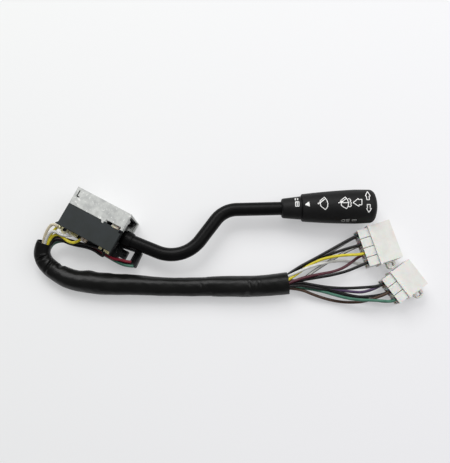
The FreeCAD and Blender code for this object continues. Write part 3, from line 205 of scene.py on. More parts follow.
# Natural nylon 6/6, moulded: milky, with light spreading inside it so that its edges stay faint
NYLON = Finish("nylon_natural_moulded", "#e2e1dc", "#d9d8d2", 7.0, 0.7, 0.02, (0.4, 0.55), glow=0.35, mirror=0.3)
# Acetal slider, cream-white
ACETAL = Finish("acetal_cream_moulded", "#efe9d6", "#e2dbc5", 4.0, 0.5, 0.02, (0.35, 0.45), glow=0.15)
# Stoved black enamel on steel tube: near black with a broad satin sheen
ENAMEL = Finish("enamel_black_stoved", "#060606", "#0a0a0a", 8.0, 0.9, 0.03, (0.32, 0.44), mirror=0.13)
# Soft-touch ABS of the knob, moulded with a fine leather grain
KNOB = Finish("abs_black_grained", "#121212", "#181818", 8.0, 0.45, 0.06, (0.45, 0.6), mirror=0.18)
# Pad-printed white ink, a little uneven
PRINT = Finish("ink_white_printed", "#f8f8f5", "#ececea", 1.2, 0.3, 0.02, (0.45, 0.6))
# The lamp marks on the knob's lower side are grey, darker than the white marks on top
LOWER_SIDE_PRINT = Finish("ink_grey_lower_side", "#a6a6a2", "#7d7d7a", 0.8, 0.3, 0.02, (0.5, 0.65))
# Soft PVC sleeving: satin black film that shines along its folds
SLEEVING = Finish("pvc_sleeving_soft", "#0b0b0a", "#131312", 7.0, 1.3, 0.07, (0.28, 0.42), mirror=0.2,
                  pattern=Pattern.SMEARED)


def vinyl(name: str, colour: str, shade: str) -> Finish:
    """Extruded PVC wire covering: smooth, satin, slightly uneven in tone.

    Args:
        name: the colour's plain name.
        colour: the main colour.
        shade: the darker tone beside it.

    Returns:
        The covering's finish.
    """
    return Finish("pvc_wire_" + name, colour, shade, 3.5, 0.6, 0.02, (0.28, 0.42), mirror=0.3)


VINYL_BLACK = vinyl("black", "#0b0a0b", "#131213")
VINYL_TRACER = vinyl("tracer", "#d8d8d4", "#c6c6c2")
VINYL_YELLOW = vinyl("yellow", "#dccf3f", "#c9b92e")
VINYL_WHITE = vinyl("white", "#dcdcd8", "#c9c9c4")
VINYL_GREEN = vinyl("green", "#4f7d6b", "#3f6a59")
# Slot and covering of each wire or lead that isn't plain black
VINYLS = {
    "wire_grey": ("vinyl_grey", vinyl("grey", "#8b8c8e", "#77787a")),
    "wire_yellow": ("vinyl_yellow", VINYL_YELLOW),
    "wire_maroon": ("vinyl_maroon", vinyl("maroon", "#5a2c37", "#47202a")),
    "wire_white": ("vinyl_white", VINYL_WHITE),
    "wire_violet": ("vinyl_violet", vinyl("violet", "#5a4668", "#4a3a57")),
    "wire_brown": ("vinyl_brown", vinyl("brown", "#4a3426", "#3a291e")),
    "wire_green": ("vinyl_green", VINYL_GREEN),
    "lead_cream": ("vinyl_cream", vinyl("cream", "#d6ccb2", "#c4b99d")),
    "lead_white": ("vinyl_white", VINYL_WHITE),
    "lead_yellow_1": ("vinyl_yellow", VINYL_YELLOW),
    "lead_yellow_2": ("vinyl_yellow", VINYL_YELLOW),
    "lead_green": ("vinyl_green", VINYL_GREEN),
    "lead_crimson": ("vinyl_crimson", vinyl("crimson", "#8f2334", "#761a29")),
}


def only(obj: bpy.types.Object) -> None:
    """Makes one object the only selected and the active one."""
    bpy.ops.object.select_all(action="DESELECT")
    obj.select_set(True)
    bpy.context.view_layer.objects.active = obj


def edit(obj: bpy.types.Object, work: Callable[[], None]) -> None:
    """Runs edit-mode operators on all of one object.

    Args:
        obj: the mesh object.
        work: a function that calls the operators.
    """
    only(obj)
    bpy.ops.object.mode_set(mode="EDIT")
    bpy.ops.mesh.select_all(action="SELECT")
    work()
    bpy.ops.object.mode_set(mode="OBJECT")


def modify(obj: bpy.types.Object, kind: str, **settings: object) -> None:
    """Adds a modifier and applies it.

    Args:
        obj: the mesh object.
        kind: the modifier's type.
        settings: its attributes.
    """
    only(obj)
    made = obj.modifiers.new("step", kind)
    for key, value in settings.items():
        setattr(made, key, value)
    bpy.ops.object.modifier_apply(modifier=made.name)


def soften(obj: bpy.types.Object, width: float, segments: int = 2, angle: float = 32.0) -> None:
    """Rounds the edges of a piece and shades it smooth.

    Args:
        obj: the mesh object.
        width: the rounding in millimetres.
        segments: how many faces go round an edge.
        angle: edges sharper than this many degrees are rounded.
    """
    if width:
        modify(obj, "BEVEL", width=width * MM, segments=segments, limit_method="ANGLE",
               angle_limit=math.radians(angle), use_clamp_overlap=True)
    only(obj)
    bpy.ops.object.shade_smooth_by_angle(angle=math.radians(angle))
    modify(obj, "WEIGHTED_NORMAL", keep_sharp=True)


def finish_piece(obj: bpy.types.Object, finish: Finish, body: Body,
                 nodes: Sequence[str] = ()) -> bpy.types.Object:
    """Dresses a piece and lets it ride.

    Args:
        obj: the finished mesh or curve.
        finish: its material.
        body: the body that carries it.
        nodes: CAD nodes that it stands for.

    Returns:
        The same object.
    """
    obj.data.materials.clear()
    obj.data.materials.append(finish.material())
    if nodes:
        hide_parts(*nodes)
    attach(obj, body.value)
    log.info("piece %s on %s", obj.name, body.value)
    return obj


def dress_node(name: str, finish: Finish) -> None:
    """Gives a CAD node a better material in its own slots."""
    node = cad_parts[name]
    if not node.material_slots:
        node.data.materials.append(finish.material())
    for held in node.material_slots:
        held.material = finish.material()
    log.info("node %s dressed", name)


def refine(node: str, name: str, width: float, segments: int = 2, angle: float = 32.0) -> bpy.types.Object:
    """Copies a CAD node's mesh, merges it and rounds its edges.

    Args:
        node: the CAD node.
        name: the new piece's name.
        width: the rounding in millimetres.
        segments: faces round an edge.
        angle: edges sharper than this many degrees are rounded.

    Returns:
        The new piece, at the origin.
    """
    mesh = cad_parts[node].data.copy()
    mesh.name = name
    obj = bpy.data.objects.new(name, mesh)
    bpy.context.scene.collection.objects.link(obj)

    def clean() -> None:
        """Merges the loose triangles and dissolves flat faces."""
        bpy.ops.mesh.customdata_custom_splitnormals_clear()
        bpy.ops.mesh.remove_doubles(threshold=MERGE)
        bpy.ops.mesh.dissolve_limited(angle_limit=math.radians(FLAT))

    edit(obj, clean)
    soften(obj, width, segments, angle)
    return obj


def nurbs(name: str, route: Sequence[Point], depth: float = 0.0, steps: int = 10) -> bpy.types.Object:
    """A curve of one open spline whose control points are a route's points.

    Args:
        name: the curve's name.
        route: points in millimetres.
        depth: half the cord's diameter in millimetres, or nought for a bare line.
        steps: pieces of line between control points.

    Returns:
        The curve object.
    """
    data = bpy.data.curves.new(name, "CURVE")
    data.dimensions = "3D"
    data.resolution_u = steps
    data.bevel_depth = depth * MM
    data.bevel_resolution = 5
    data.use_fill_caps = depth > 0
    spline = data.splines.new("NURBS")
    spline.points.add(len(route) - 1)
    for held, point in zip(spline.points, route):
        held.co = (*[c * MM for c in point], 1.0)
    spline.order_u = 3
    spline.use_endpoint_u = True
    obj = bpy.data.objects.new(name, data)
    bpy.context.scene.collection.objects.link(obj)
    return obj


def line_of(route: Sequence[Point], steps: int) -> list[Vector]:
    """Points read from the route's spline, in metres."""
    bare = nurbs("route_line", route, 0.0, steps)
    bpy.context.view_layer.update()
    mesh = bpy.data.meshes.new_from_object(bare.evaluated_get(bpy.context.evaluated_depsgraph_get()))
    points = [v.co.copy() for v in mesh.vertices]
    bpy.data.meshes.remove(mesh)
    data = bare.data
    bpy.data.objects.remove(bare)
    bpy.data.curves.remove(data)
    return points


def length_of(points: Sequence[Vector]) -> float:
    """Length of a line through points."""
    return sum((b - a).length for a, b in zip(points, points[1:]))


def swept(name: str, line: Sequence[Vector], reach: Callable[[float, float], float], sides: int,
          wall: float, deep: float, sharp: float = 50.0) -> bpy.types.Object:
    """A tube along a line, with turned-in open-looking ends that are closed inside.

    Args:
        name: the piece's name.
        line: the centreline in metres.
        reach: radius in millimetres at a distance along, in millimetres, and an angle from the top.
        sides: points round the tube.
        wall: how far the end's rim turns in, in millimetres.
        deep: how deep the end is hollow, in millimetres.
        sharp: edges sharper than this many degrees stay sharp.

    Returns:
        The mesh object.
    """
    tube = bmesh.new()
    rings, gone = [], 0.0
    for index, spot in enumerate(line):
        if index:
            gone += (spot - line[index - 1]).length
        ahead = (line[min(index + 1, len(line) - 1)] - line[max(index - 1, 0)]).normalized()
        side = ahead.cross(Vector((0, 0, 1))).normalized()
        rise = side.cross(ahead)
        ring = []
        for turn in range(sides):
            angle = 2 * math.pi * turn / sides
            radius = reach(gone / MM, angle) * MM
            ring.append(tube.verts.new(spot + (rise * math.cos(angle) + side * math.sin(angle)) * radius))
        rings.append(ring)
        if index in (0, len(line) - 1):
            inner = []
            back = ahead * (deep * MM * (1 if index == 0 else -1))
            for shift in (Vector(), back):
                inner.append([tube.verts.new(v.co + shift - (v.co - spot).normalized() * wall * MM) for v in ring])
            rings = [inner[1], inner[0], *rings] if index == 0 else [*rings, *inner]
    for first, second in zip(rings, rings[1:]):
        for turn in range(sides):
            after = (turn + 1) % sides
            tube.faces.new((first[turn], first[after], second[after], second[turn]))
    tube.faces.new(list(reversed(rings[0])))
    tube.faces.new(rings[-1])
    bmesh.ops.recalc_face_normals(tube, faces=tube.faces)
    mesh = bpy.data.meshes.new(name)
    tube.to_mesh(mesh)
    tube.free()
    obj = bpy.data.objects.new(name, mesh)
    bpy.context.scene.collection.objects.link(obj)
    only(obj)
    bpy.ops.object.shade_smooth_by_angle(angle=math.radians(sharp))
    return obj


@dataclass
class Studio:
    """Camera at the photograph's place, soft studio light and a pale floor."""
    eye: Point = (0.1382, -0.0384, 0.5318)
    target: Point = (0.0943, 0.0445, 0.0)
    focal_px: float = 640.0
    tall_px: float = 463.0
    sensor: float = 36.0
    aim: Point = (0.09, 0.03, 0.0)
    key_place: Point = (-0.62, 0.72, 1.12)
    fill_place: Point = (0.62, 0.66, 1.02)
    world: float = 0.26
    key: float = 15.0
    fill: float = 8.6
    plain: float = 0.42

    def camera(self) -> None:
        """Sets the camera."""
        data = bpy.data.cameras.new("photo_camera")
        data.lens = self.sensor * self.focal_px / self.tall_px
        data.clip_start = 0.01
        obj = bpy.data.objects.new("photo_camera", data)
        obj.location = self.eye
        obj.rotation_euler = (Vector(self.target) - Vector(self.eye)).to_track_quat("-Z", "Y").to_euler()
        bpy.context.scene.collection.objects.link(obj)
        bpy.context.scene.camera = obj

    def lamp(self, name: str, place: Point, size: float, power: float) -> None:
        """Adds a soft square lamp that looks at the object.

        Args:
            name: the lamp's name.
            place: where it stands, in metres.
            size: its side in metres.
            power: its power in watts.
        """
        data = bpy.data.lights.new(name, "AREA")
        data.size = size
        data.energy = power
        obj = bpy.data.objects.new(name, data)
        obj.location = place
        obj.rotation_euler = (Vector(self.aim) - Vector(place)).to_track_quat("-Z", "Y").to_euler()
        bpy.context.scene.collection.objects.link(obj)

    def light(self) -> None:
        """Sets the world and the lamps."""
        world = bpy.data.worlds.new("studio")
        world.use_nodes = True
        tree = world.node_tree
        tree.nodes.clear()
        back = add_node(tree, "Background", {"Color": linear("#fbfbff"), "Strength": self.world})
        add_node(tree, "OutputWorld", links={"Surface": back.outputs[0]})
        bpy.context.scene.world = world
        bpy.context.scene.view_settings.view_transform = "Standard"
        self.lamp("key", self.key_place, 0.9, self.key)
        self.lamp("fill", self.fill_place, 1.1, self.fill)

    def floor(self) -> None:
        """Lays the pale floor, part of whose tone is even to the eye, so that shadows stay soft."""
        bpy.ops.object.select_all(action="DESELECT")
        bpy.ops.mesh.primitive_plane_add(size=6, location=(0.1, 0, -0.0002))
        obj = bpy.context.object
        obj.name = "floor"
        made = bpy.data.materials.new("paper_backdrop")
        made.use_nodes = True
        tree = made.node_tree
        tree.nodes.clear()
        place = add_node(tree, "TexCoord").outputs["Object"]
        slope = add_node(tree, "Mapping", {"Location": (0.35, 0.0, 0.0), "Scale": (1.1, 0.0, 0.0)}, {"Vector": place})
        run = add_node(tree, "SeparateXYZ", links={"Vector": slope.outputs[0]})
        tone = add_node(tree, "Mix", {6: linear("#eff0ef"), 7: linear("#edecf0")}, {0: run.outputs[0]},
                        data_type="RGBA", clamp_factor=True)
        lit = add_node(tree, "BsdfDiffuse", links={"Color": tone.outputs[2]})
        even = add_node(tree, "Emission", {"Strength": 1.0}, {"Color": tone.outputs[2]})
        path = add_node(tree, "LightPath")
        seen = add_node(tree, "Math", {}, {0: path.outputs["Is Camera Ray"], 1: path.outputs["Is Glossy Ray"]},
                        operation="ADD")
        through = add_node(tree, "Math", {}, {0: seen.outputs[0], 1: path.outputs["Is Transmission Ray"]},
                           operation="MAXIMUM")
        share = add_node(tree, "Math", {1: self.plain}, {0: through.outputs[0]}, operation="MULTIPLY",
                         use_clamp=True)
        shader = add_node(tree, "MixShader", {}, {0: share.outputs[0], 1: lit.outputs[0], 2: even.outputs[0]})
        add_node(tree, "OutputMaterial", links={"Surface": shader.outputs[0]})
        obj.data.materials.append(made)

    def build(self) -> None:
        """Sets everything up."""
        self.camera()
        self.light()
        self.floor()
        log.info("studio ready")


# Route points of the sleeve, the wires and the leads, in millimetres
SLEEVE_ROUTE: list[Point] = [
    (-30.9, -34.8, 13.4), (-30.4, -41.8, 11.4), (-25.8, -47.6, 9.2), (-18.5, -50.6, 7.9), (-9.5, -52.2, 7.6),
    (2.9, -51.2, 7.6), (15.4, -46.1, 7.6), (30.7, -40.6, 7.6), (52.1, -29.5, 7.6), (76.5, -18.8, 7.6),
    (101.1, -5.2, 7.6), (123.7, 6.9, 7.6), (143.9, 17.8, 7.8), (160.7, 29.4, 7.8)]
WIRE_ROUTES: dict[str, list[Point]] = {
    "wire_black_1": [(157.06, 34.97, 7.8), (162.1, 44.8, 8.1), (171.1, 57.5, 10.1), (181.3, 73.1, 12.2),
                     (191.6, 88.85, 12.4), (194.7, 92.1, 12.4)],
    "wire_grey": [(157.84, 33.86, 5.4), (163.8, 46.1, 4.3), (172.0, 57.4, 4.1), (182.7, 73.4, 4.1),
                  (191.6, 88.85, 4.6), (194.7, 92.1, 4.6)],
    "wire_black_2": [(158.6, 32.8, 7.8), (164.3, 44.3, 7.0), (172.8, 57.1, 6.7), (180.5, 66.8, 9.5),
                     (189.3, 75.8, 11.5), (197.3, 83.35, 12.4), (200.4, 86.6, 12.4)],
    "wire_striped": [(159.43, 31.62, 5.4), (167.3, 35.2, 5.3), (170.8, 39.3, 5.1), (173.9, 46.3, 4.5),
                     (178.0, 53.7, 3.6), (183.3, 63.1, 3.5), (191.0, 75.3, 4.2), (197.3, 83.35, 4.6),
                     (200.4, 86.6, 4.6)],
    "wire_yellow": [(159.43, 31.62, 10.2), (164.2, 40.1, 10.1), (168.9, 50.2, 8.8), (174.0, 57.5, 8.9),
                    (181.4, 64.3, 11.4), (191.3, 71.3, 12.4), (202.95, 77.85, 12.4), (206.1, 81.1, 12.4)],
    "wire_maroon": [(161.0, 29.4, 10.2), (167.6, 37.1, 10.0), (175.2, 44.0, 8.9), (182.5, 49.9, 8.1),
                    (190.0, 55.8, 7.6), (196.9, 64.0, 7.1), (202.95, 77.85, 4.6), (206.1, 81.1, 4.6)],
    "wire_white": [(157.84, 33.86, 10.2), (164.6, 42.2, 12.6), (169.1, 47.9, 12.8), (174.5, 53.6, 10.3),
                   (183.4, 61.8, 6.2), (191.3, 67.2, 3.9), (198.3, 70.2, 3.3), (208.65, 72.35, 4.6),
                   (211.8, 75.6, 4.6)],
    "wire_black_3": [(160.22, 30.51, 7.8), (168.4, 36.1, 7.3), (174.1, 40.5, 6.6), (181.7, 46.2, 7.4),
                     (190.1, 52.5, 9.4), (199.3, 60.7, 12.0), (208.65, 72.35, 12.4), (211.8, 75.6, 12.4)],
    "wire_black_4": [(161.84, 28.23, 7.8), (168.2, 34.5, 8.0), (177.0, 36.8, 9.3), (190.5, 41.0, 11.2),
                     (203.3, 46.7, 12.3), (215.7, 54.0, 12.4), (228.25, 62.05, 12.4), (230.2, 66.1, 12.4)],
    "wire_violet": [(161.84, 28.23, 3.0), (169.8, 34.5, 3.0), (181.1, 37.7, 3.1), (196.7, 43.1, 3.7),
                    (210.7, 48.2, 4.2), (219.6, 52.3, 4.5), (228.25, 62.05, 4.6), (230.2, 66.1, 4.6)],
    "wire_black_5": [(162.59, 27.16, 10.2), (169.8, 32.5, 10.6), (182.5, 36.4, 10.1), (191.2, 39.6, 8.3),
                     (205.0, 43.4, 6.2), (212.0, 45.1, 5.2), (220.3, 48.1, 5.2), (235.35, 58.65, 4.6),
                     (237.3, 62.7, 4.6)],
    "wire_brown": [(163.37, 26.05, 7.8), (171.8, 29.9, 7.8), (184.9, 31.1, 5.5), (197.9, 33.8, 3.3),
                   (208.7, 37.4, 3.6), (217.9, 42.1, 6.1), (224.0, 46.5, 9.0), (235.35, 58.65, 12.4),
                   (237.3, 62.7, 12.4)],
    "wire_black_6": [(161.0, 29.4, 5.4), (174.1, 33.3, 5.8), (189.4, 38.0, 4.6), (198.2, 40.0, 4.1),
                     (208.4, 42.6, 3.9), (217.5, 45.6, 3.8), (227.2, 49.7, 3.8), (242.45, 55.15, 4.6),
                     (244.4, 59.2, 4.6)],
    "wire_green": [(162.59, 27.16, 5.4), (174.5, 32.7, 5.4), (189.4, 36.9, 7.6), (198.1, 38.4, 9.0),
                   (208.0, 40.4, 10.8), (216.7, 43.4, 11.9), (225.9, 47.8, 12.6), (233.4, 51.3, 12.5),
                   (242.45, 55.15, 12.4), (244.4, 59.2, 12.4)],
}
LEAD_ROUTES: dict[str, list[Point]] = {
    "lead_cream": [(-29.8, -44.0, 11.4), (-31.7, -36.3, 13.5), (-32.6, -30.6, 16.5), (-32.4, -25.3, 19.5),
                   (-31.2, -20.3, 22.0), (-28.3, -18.4, 23.6), (-25.0, -18.6, 23.2)],
    "lead_white": [(-29.4, -41.0, 13.0), (-29.8, -36.3, 14.5), (-30.3, -30.1, 17.5), (-28.8, -24.7, 20.5),
                   (-24.5, -22.9, 22.6), (-19.0, -23.4, 23.2), (-14.6, -21.9, 23.0), (-11.8, -19.6, 22.2)],
    "lead_yellow_1": [(-27.6, -46.0, 11.0), (-28.9, -36.5, 13.0), (-29.5, -31.2, 15.5), (-28.6, -26.3, 18.2),
                      (-27.0, -22.2, 20.3), (-25.6, -18.3, 21.65)],
    "lead_yellow_2": [(-27.2, -41.0, 12.2), (-27.5, -36.3, 13.5), (-27.9, -31.1, 15.5), (-26.2, -26.5, 18.0),
                      (-22.6, -23.7, 20.0), (-17.7, -24.3, 21.0), (-11.2, -25.5, 21.2), (-6.2, -23.6, 21.4),
                      (-3.8, -18.8, 21.7)],
    "lead_black_2": [(-26.4, -41.4, 11.6), (-26.5, -36.4, 13.0), (-26.9, -31.0, 14.5), (-24.9, -27.0, 16.5),
                     (-20.6, -24.4, 17.6), (-14.5, -24.6, 17.6), (-8.1, -24.0, 17.6), (-2.0, -21.4, 18.2),
                     (5.0, -19.8, 19.6), (12.2, -18.2, 21.8)],
    "lead_black_1": [(-26.0, -41.4, 9.8), (-26.2, -36.6, 11.0), (-26.1, -32.3, 12.0), (-24.0, -28.5, 13.5),
                     (-19.3, -26.6, 14.6), (-13.3, -26.4, 15.0), (-6.5, -25.0, 15.4), (1.5, -22.4, 15.8),
                     (9.0, -21.4, 16.0), (15.0, -22.4, 17.4), (19.4, -22.4, 19.6), (17.2, -18.9, 21.9)],
    "lead_green": [(-26.0, -41.6, 9.0), (-26.0, -37.3, 9.2), (-26.1, -33.3, 8.2), (-24.3, -29.6, 7.2),
                   (-19.5, -26.2, 7.2), (-11.7, -24.4, 7.4), (-1.2, -21.4, 7.5), (8.8, -20.4, 7.5),
                   (16.5, -20.6, 7.6), (24.5, -20.9, 7.6), (30.5, -20.9, 7.8), (36.4, -20.2, 8.4),
                   (42.0, -17.8, 8.9)],
    "lead_crimson": [(-27.6, -41.4, 9.6), (-27.6, -36.8, 10.4), (-27.9, -32.5, 10.0), (-25.9, -28.3, 10.2),
                     (-20.6, -24.6, 10.4), (-11.5, -23.0, 10.6), (-1.0, -20.7, 10.6), (9.0, -19.8, 10.5),
                     (16.7, -20.0, 10.5), (24.2, -20.5, 10.4), (29.6, -18.2, 10.3), (35.1, -17.2, 10.0),
                     (38.6, -15.6, 8.9)],
}


@dataclass
class Fold:
    """One crease across the sleeve, in millimetres and degrees from its top. A negative depth is a bump.

    A low ridge lies on each side of it, at ridge_place widths and with ridge_share of its depth.
    """
    along: float
    depth: float
    width: float
    middle: float = 0.0
    spread: float = 180.0
    slant: float = 0.0
    ridge_share: float = 0.35
    ridge_place: float = 2.1

    def at(self, along: float, angle: float) -> float:
        """How far the fold pulls the skin in at one spot.

        Args:
            along: millimetres from the sleeve's start.
            angle: radians from the top.

        Returns:
            Millimetres.
        """
        off = (math.degrees(angle) - self.middle + 180) % 360 - 180
        if abs(off) > self.spread:
            return 0.0
        share = (along - self.along - self.slant * off) / self.width
        window = 0.5 + 0.5 * math.cos(math.pi * off / self.spread) if self.spread < 180 else 1.0
        ridge = self.ridge_share * math.exp(-((abs(share) - self.ridge_place) ** 2))
        return self.depth * window * (math.exp(-share * share) - ridge)


@dataclass
class Harness:
    """Sleeve, fourteen plug wires and eight short leads.

    Widths, folds and reaches are in millimetres. The lap is the step where one length of sleeving lies
    over the next, swell and ripple are the skin's broad and fine unevenness, and the tracer lists the
    faces round the striped wire that are white. The split is not used.
    """
    plugs: dict[str, bpy.types.Object]
    sleeve_width: float = 15.0
    sleeve_sides: int = 64
    wire_width: float = 2.4
    wire_sides: int = 20
    tracer: Sequence[int] = (0, 1, 18, 19)
    split: float = 220.0
    widths: Sequence[Spot] = ((0, 12.6), (7, 13.4), (15, 14.2), (28, 15.0), (42, 17.2), (60, 18.4), (84, 17.6),
                              (112, 16.2), (135, 15.2), (150, 15.6), (175, 16.6), (195, 17.4), (215, 17.2))
    folds: Sequence[Fold] = field(default_factory=lambda: [
        Fold(12.5, 1.3, 1.1, 10, 80, 0.012), Fold(15.0, 0.35, 0.7, -40, 50, -0.02),
        Fold(21.5, 1.3, 1.1, -10, 90, 0.03), Fold(25.0, 0.4, 0.7, -60, 50, -0.02), Fold(30, 0.9, 1.6, -70, 50),
        Fold(36, -0.25, 3.0, -75, 50), Fold(57, -0.45, 3.2, -80, 50), Fold(74, -0.3, 4.0, -80, 50),
        Fold(151, 0.35, 0.8, 0, 26), Fold(188, 0.5, 1.6, 60, 40), Fold(190, 0.45, 0.7, -5, 32, 0.04),
        Fold(196, 0.45, 0.8, 0, 30, -0.04)])
    overlap: float = 157.0
    lap_step: float = 0.35
    lap_edge: float = 0.35
    lap_slant: float = 2.2
    inset: float = 0.15
    swell: float = 0.55
    ripple: float = 0.16
    fold_reach: float = 12.0
    floor_limit: float = 7.5

    def width_at(self, along: float) -> float:
        """Width of the sleeve that far along, in millimetres."""
        for (a, first), (b, second) in zip(self.widths, self.widths[1:]):
            if along <= b:
                share = min(max((along - a) / (b - a), 0), 1)
                share = share * share * (3 - 2 * share)
                return first + (second - first) * share
        return self.widths[-1][1]

    def skin(self, along: float, angle: float) -> float:
        """Radius of the sleeve's skin at a spot, with its lap, its folds and its broad and fine unevenness."""
        radius = self.width_at(along) / 2
        lap = 1 / (1 + math.exp(-(along - self.overlap - self.lap_slant * math.sin(angle)) / self.lap_edge))
        radius += self.lap_step * lap - self.inset
        for fold in self.folds:
            if abs(along - fold.along) < self.fold_reach:
                radius -= fold.at(along, angle)
        around = Vector((math.cos(angle) * 1.1, math.sin(angle) * 1.1, along / 26))
        fine = Vector((around.x * 3, around.y * 3, along / 5))
        radius += self.swell * noise.noise(around) + self.ripple * noise.noise(fine)
        if math.cos(angle) < 0:
            radius = min(radius, self.floor_limit / max(-math.cos(angle), 1e-6))
        return radius

    def sleeve(self) -> None:
        """Builds the sleeve as a skin along its route."""
        line = line_of(SLEEVE_ROUTE, 44)
        obj = swept("harness_sleeve_skin", line, self.skin, self.sleeve_sides, 0.7, 6.0)
        finish_piece(obj, SLEEVING, Body.BASE, ["harness_sleeve"])

    def striped(self, name: str, route: list[Point]) -> None:
        """Builds the black wire with a white tracer as a swept tube."""
        line = line_of(route, 16)
        obj = swept(name + "_run", line, lambda along, angle: self.wire_width / 2, self.wire_sides, 0.2, 0.2)
        finish_piece(obj, VINYL_BLACK, Body.BASE, [name])
        obj.data.materials.append(VINYL_TRACER.material())
        for face in obj.data.polygons:
            turn = face.index % self.wire_sides
            if turn in self.tracer and face.index < self.wire_sides * (len(line) + 3):
                face.material_index = 1

    def wire(self, name: str, route: list[Point]) -> None:
        """Builds one wire as a round curve.

        Args:
            name: the CAD node that it replaces.
            route: its corner points in millimetres.
        """
        slot, finish = VINYLS.get(name, ("vinyl_black", VINYL_BLACK))
        obj = nurbs(name + "_run", route, self.wire_width / 2)
        finish_piece(obj, finish, Body.BASE, [name])
        length = length_of(line_of(route, 10))

    def build(self) -> None:
        """Builds every cord."""
        self.sleeve()
        for name, route in WIRE_ROUTES.items():
            if name == "wire_striped":
                self.striped(name, route)
            else:
                self.wire(name, route)
        for name, route in LEAD_ROUTES.items():
            self.wire(name, route)


@dataclass
class Casting:
    """The zinc body, its black cover, the moulded base, terminals and wire guide.

    The rim is a place in x and y, in millimetres: casting faces right of it and nearer than it, round the
    mouth below the lever, look black like the moulding.
    """
    edge: float = 0.35
    rim: Spot = (21.4, 1.8)

    def shells(self) -> None:
        """Rounds and dresses the large fixed pieces."""
        body = refine("housing", "housing_casting", self.edge, 3)
        edit(body, lambda: bpy.ops.mesh.bisect(plane_co=(0, self.rim[1] * MM, 0), plane_no=(0, 1, 0)))
        finish_piece(body, ZINC, Body.BASE, ["housing"])
        body.data.materials.append(MOULDING.material())
        for face in body.data.polygons:
            if face.center.x > self.rim[0] * MM and face.center.y < self.rim[1] * MM:
                face.material_index = 1
        for node, name, width, segments, finish in (("cover_plate", "cover_sheet", 0.2, 2, COVER),
                                                    ("switch_base", "switch_base_moulding", 0.2, 2, MOULDING),
                                                    ("wire_guide", "wire_guide_frame", 0.3, 3, MOULDING),
                                                    ("wire_clamp", "wire_clamp_block", 0.2, 2, MOULDING)):
            finish_piece(refine(node, name, width, segments), finish, Body.BASE, [node])

    def terminals(self) -> None:
        """Rounds and dresses the brass terminals."""
        for node in ("ring_terminal", "clip_terminal", "inner_tab_terminal", "outer_tab_terminal"):
            finish_piece(refine(node, node + "_brass", 0.1), BRASS, Body.BASE, [node])
        finish_piece(refine("crimp_terminal", "crimp_terminal_barrel", 0.2), COPPER, Body.BASE,
                     ["crimp_terminal"])

    def build(self) -> None:
        """Builds the casting and all that is fixed to it."""
        self.shells()
        self.terminals()
        dress_node("fixed_contacts", BRASS)
        dress_node("pivot_pin", STEEL)
        dress_node("detent_cam", ACETAL)
        dress_node("dip_switch_barrel", MOULDING)


@dataclass
class Mechanism:
    """Carrier, slider, detent and lever root."""
    edge: float = 0.25

    def build(self) -> None:
        """Dresses the moving pieces inside the casting."""
        finish_piece(refine("lever_carrier", "lever_carrier_casting", self.edge), MOULDING,
                     Body.CARRIER, ["lever_carrier"])
        finish_piece(refine("nylon_slider", "slider_moulding", self.edge), ACETAL, Body.CARRIER,
                     ["nylon_slider"])
        finish_piece(refine("lever_knuckle", "lever_knuckle_cap", 0.3, 3), ENAMEL, Body.LEVER,
                     ["lever_knuckle"])
        for name, finish in {"moving_contacts": BRASS, "detent_plunger": STEEL, "detent_spring": SPRING,
                             "flash_pin": STEEL, "flash_spring": SPRING, "wiper_contact_disc": MOULDING,
                             "wiper_studs": BRASS, "spring_seat": ACETAL, "rotor_clip": SPRING,
                             "wiper_rotor": ACETAL, "rotor_contact_ring": BRASS, "wash_contact_pin": BRASS,
                             "wash_spring": SPRING}.items():
            dress_node(name, finish)


@dataclass
class Plugs:
    """The two multiway plugs."""
    edge: float = 0.1

    def build(self) -> dict[str, bpy.types.Object]:
        """Rounds and dresses the plugs.

        Returns:
            Each plug by its node's name.
        """
        made = {}
        for node in ("plug_eight_way", "plug_six_way"):
            made[node] = finish_piece(refine(node, node + "_moulding", self.edge), NYLON, Body.BASE,
                                      [node])
            dress_node(node + "_contacts", BRASS)
        return made


Stroke = list[Spot]
# Outlines of the marks on the knob: millimetres from the joint along it, and round it from the top
POINTER: list[Stroke] = [
    [(2.6, 1.0), (5.4, 3.1), (5.9, -0.4), (2.6, 1.0)], [(2.9, 1.0), (5.5, 2.2)], [(2.9, 1.0), (5.6, 1.2)],
    [(2.9, 0.9), (5.8, 0.4)]]
WIPER: list[Stroke] = [
    [(14.3, 3.5), (18.2, 7.1), (19.8, 4.2), (20.5, 1.1), (20.1, -1.4), (18.6, -3.8), (16.4, -2.3), (14.6, -0.3),
     (14.3, 3.5)],
    [(14.7, 2.1), (18.6, 5.4)], [(12.9, 1.4), (16.6, 3.6)], [(12.5, 1.6), (13.0, 1.0), (13.3, 1.6), (12.8, 2.0)]]
WIPE_WASH: list[Stroke] = [
    [(30.8, 3.1), (34.8, 6.5), (36.4, 3.7), (37.0, 0.8), (36.6, -1.6), (35.3, -3.6), (33.1, -2.3), (31.3, -1.0),
     (30.8, 3.1)],
    [(31.2, 1.4), (35.2, 4.8)], [(29.2, 1.4), (33.2, 3.1)], [(28.9, 1.7), (29.4, 1.1), (29.7, 1.8)],
    [(31.7, 1.4), (37.6, 1.2)],
    [(36.9, 4.7), (38.3, 4.4), (39.0, 3.1), (38.2, 2.3), (39.3, 1.1), (38.6, -0.1), (39.2, -1.0), (38.2, -2.2),
     (36.6, -1.9)]]
ARROW_LEFT: list[Stroke] = [
    [(40.6, 1.1), (45.0, 4.6), (45.2, 3.7), (47.9, 3.8), (47.5, -0.8), (45.4, -0.7), (45.2, -2.1), (40.6, 1.1)]]
ARROW_UP: list[Stroke] = [
    [(53.7, 12.4), (51.0, 6.9), (51.9, 6.7), (51.8, 3.4), (53.9, 3.3), (54.1, 6.6), (55.0, 6.7), (53.7, 12.4)]]
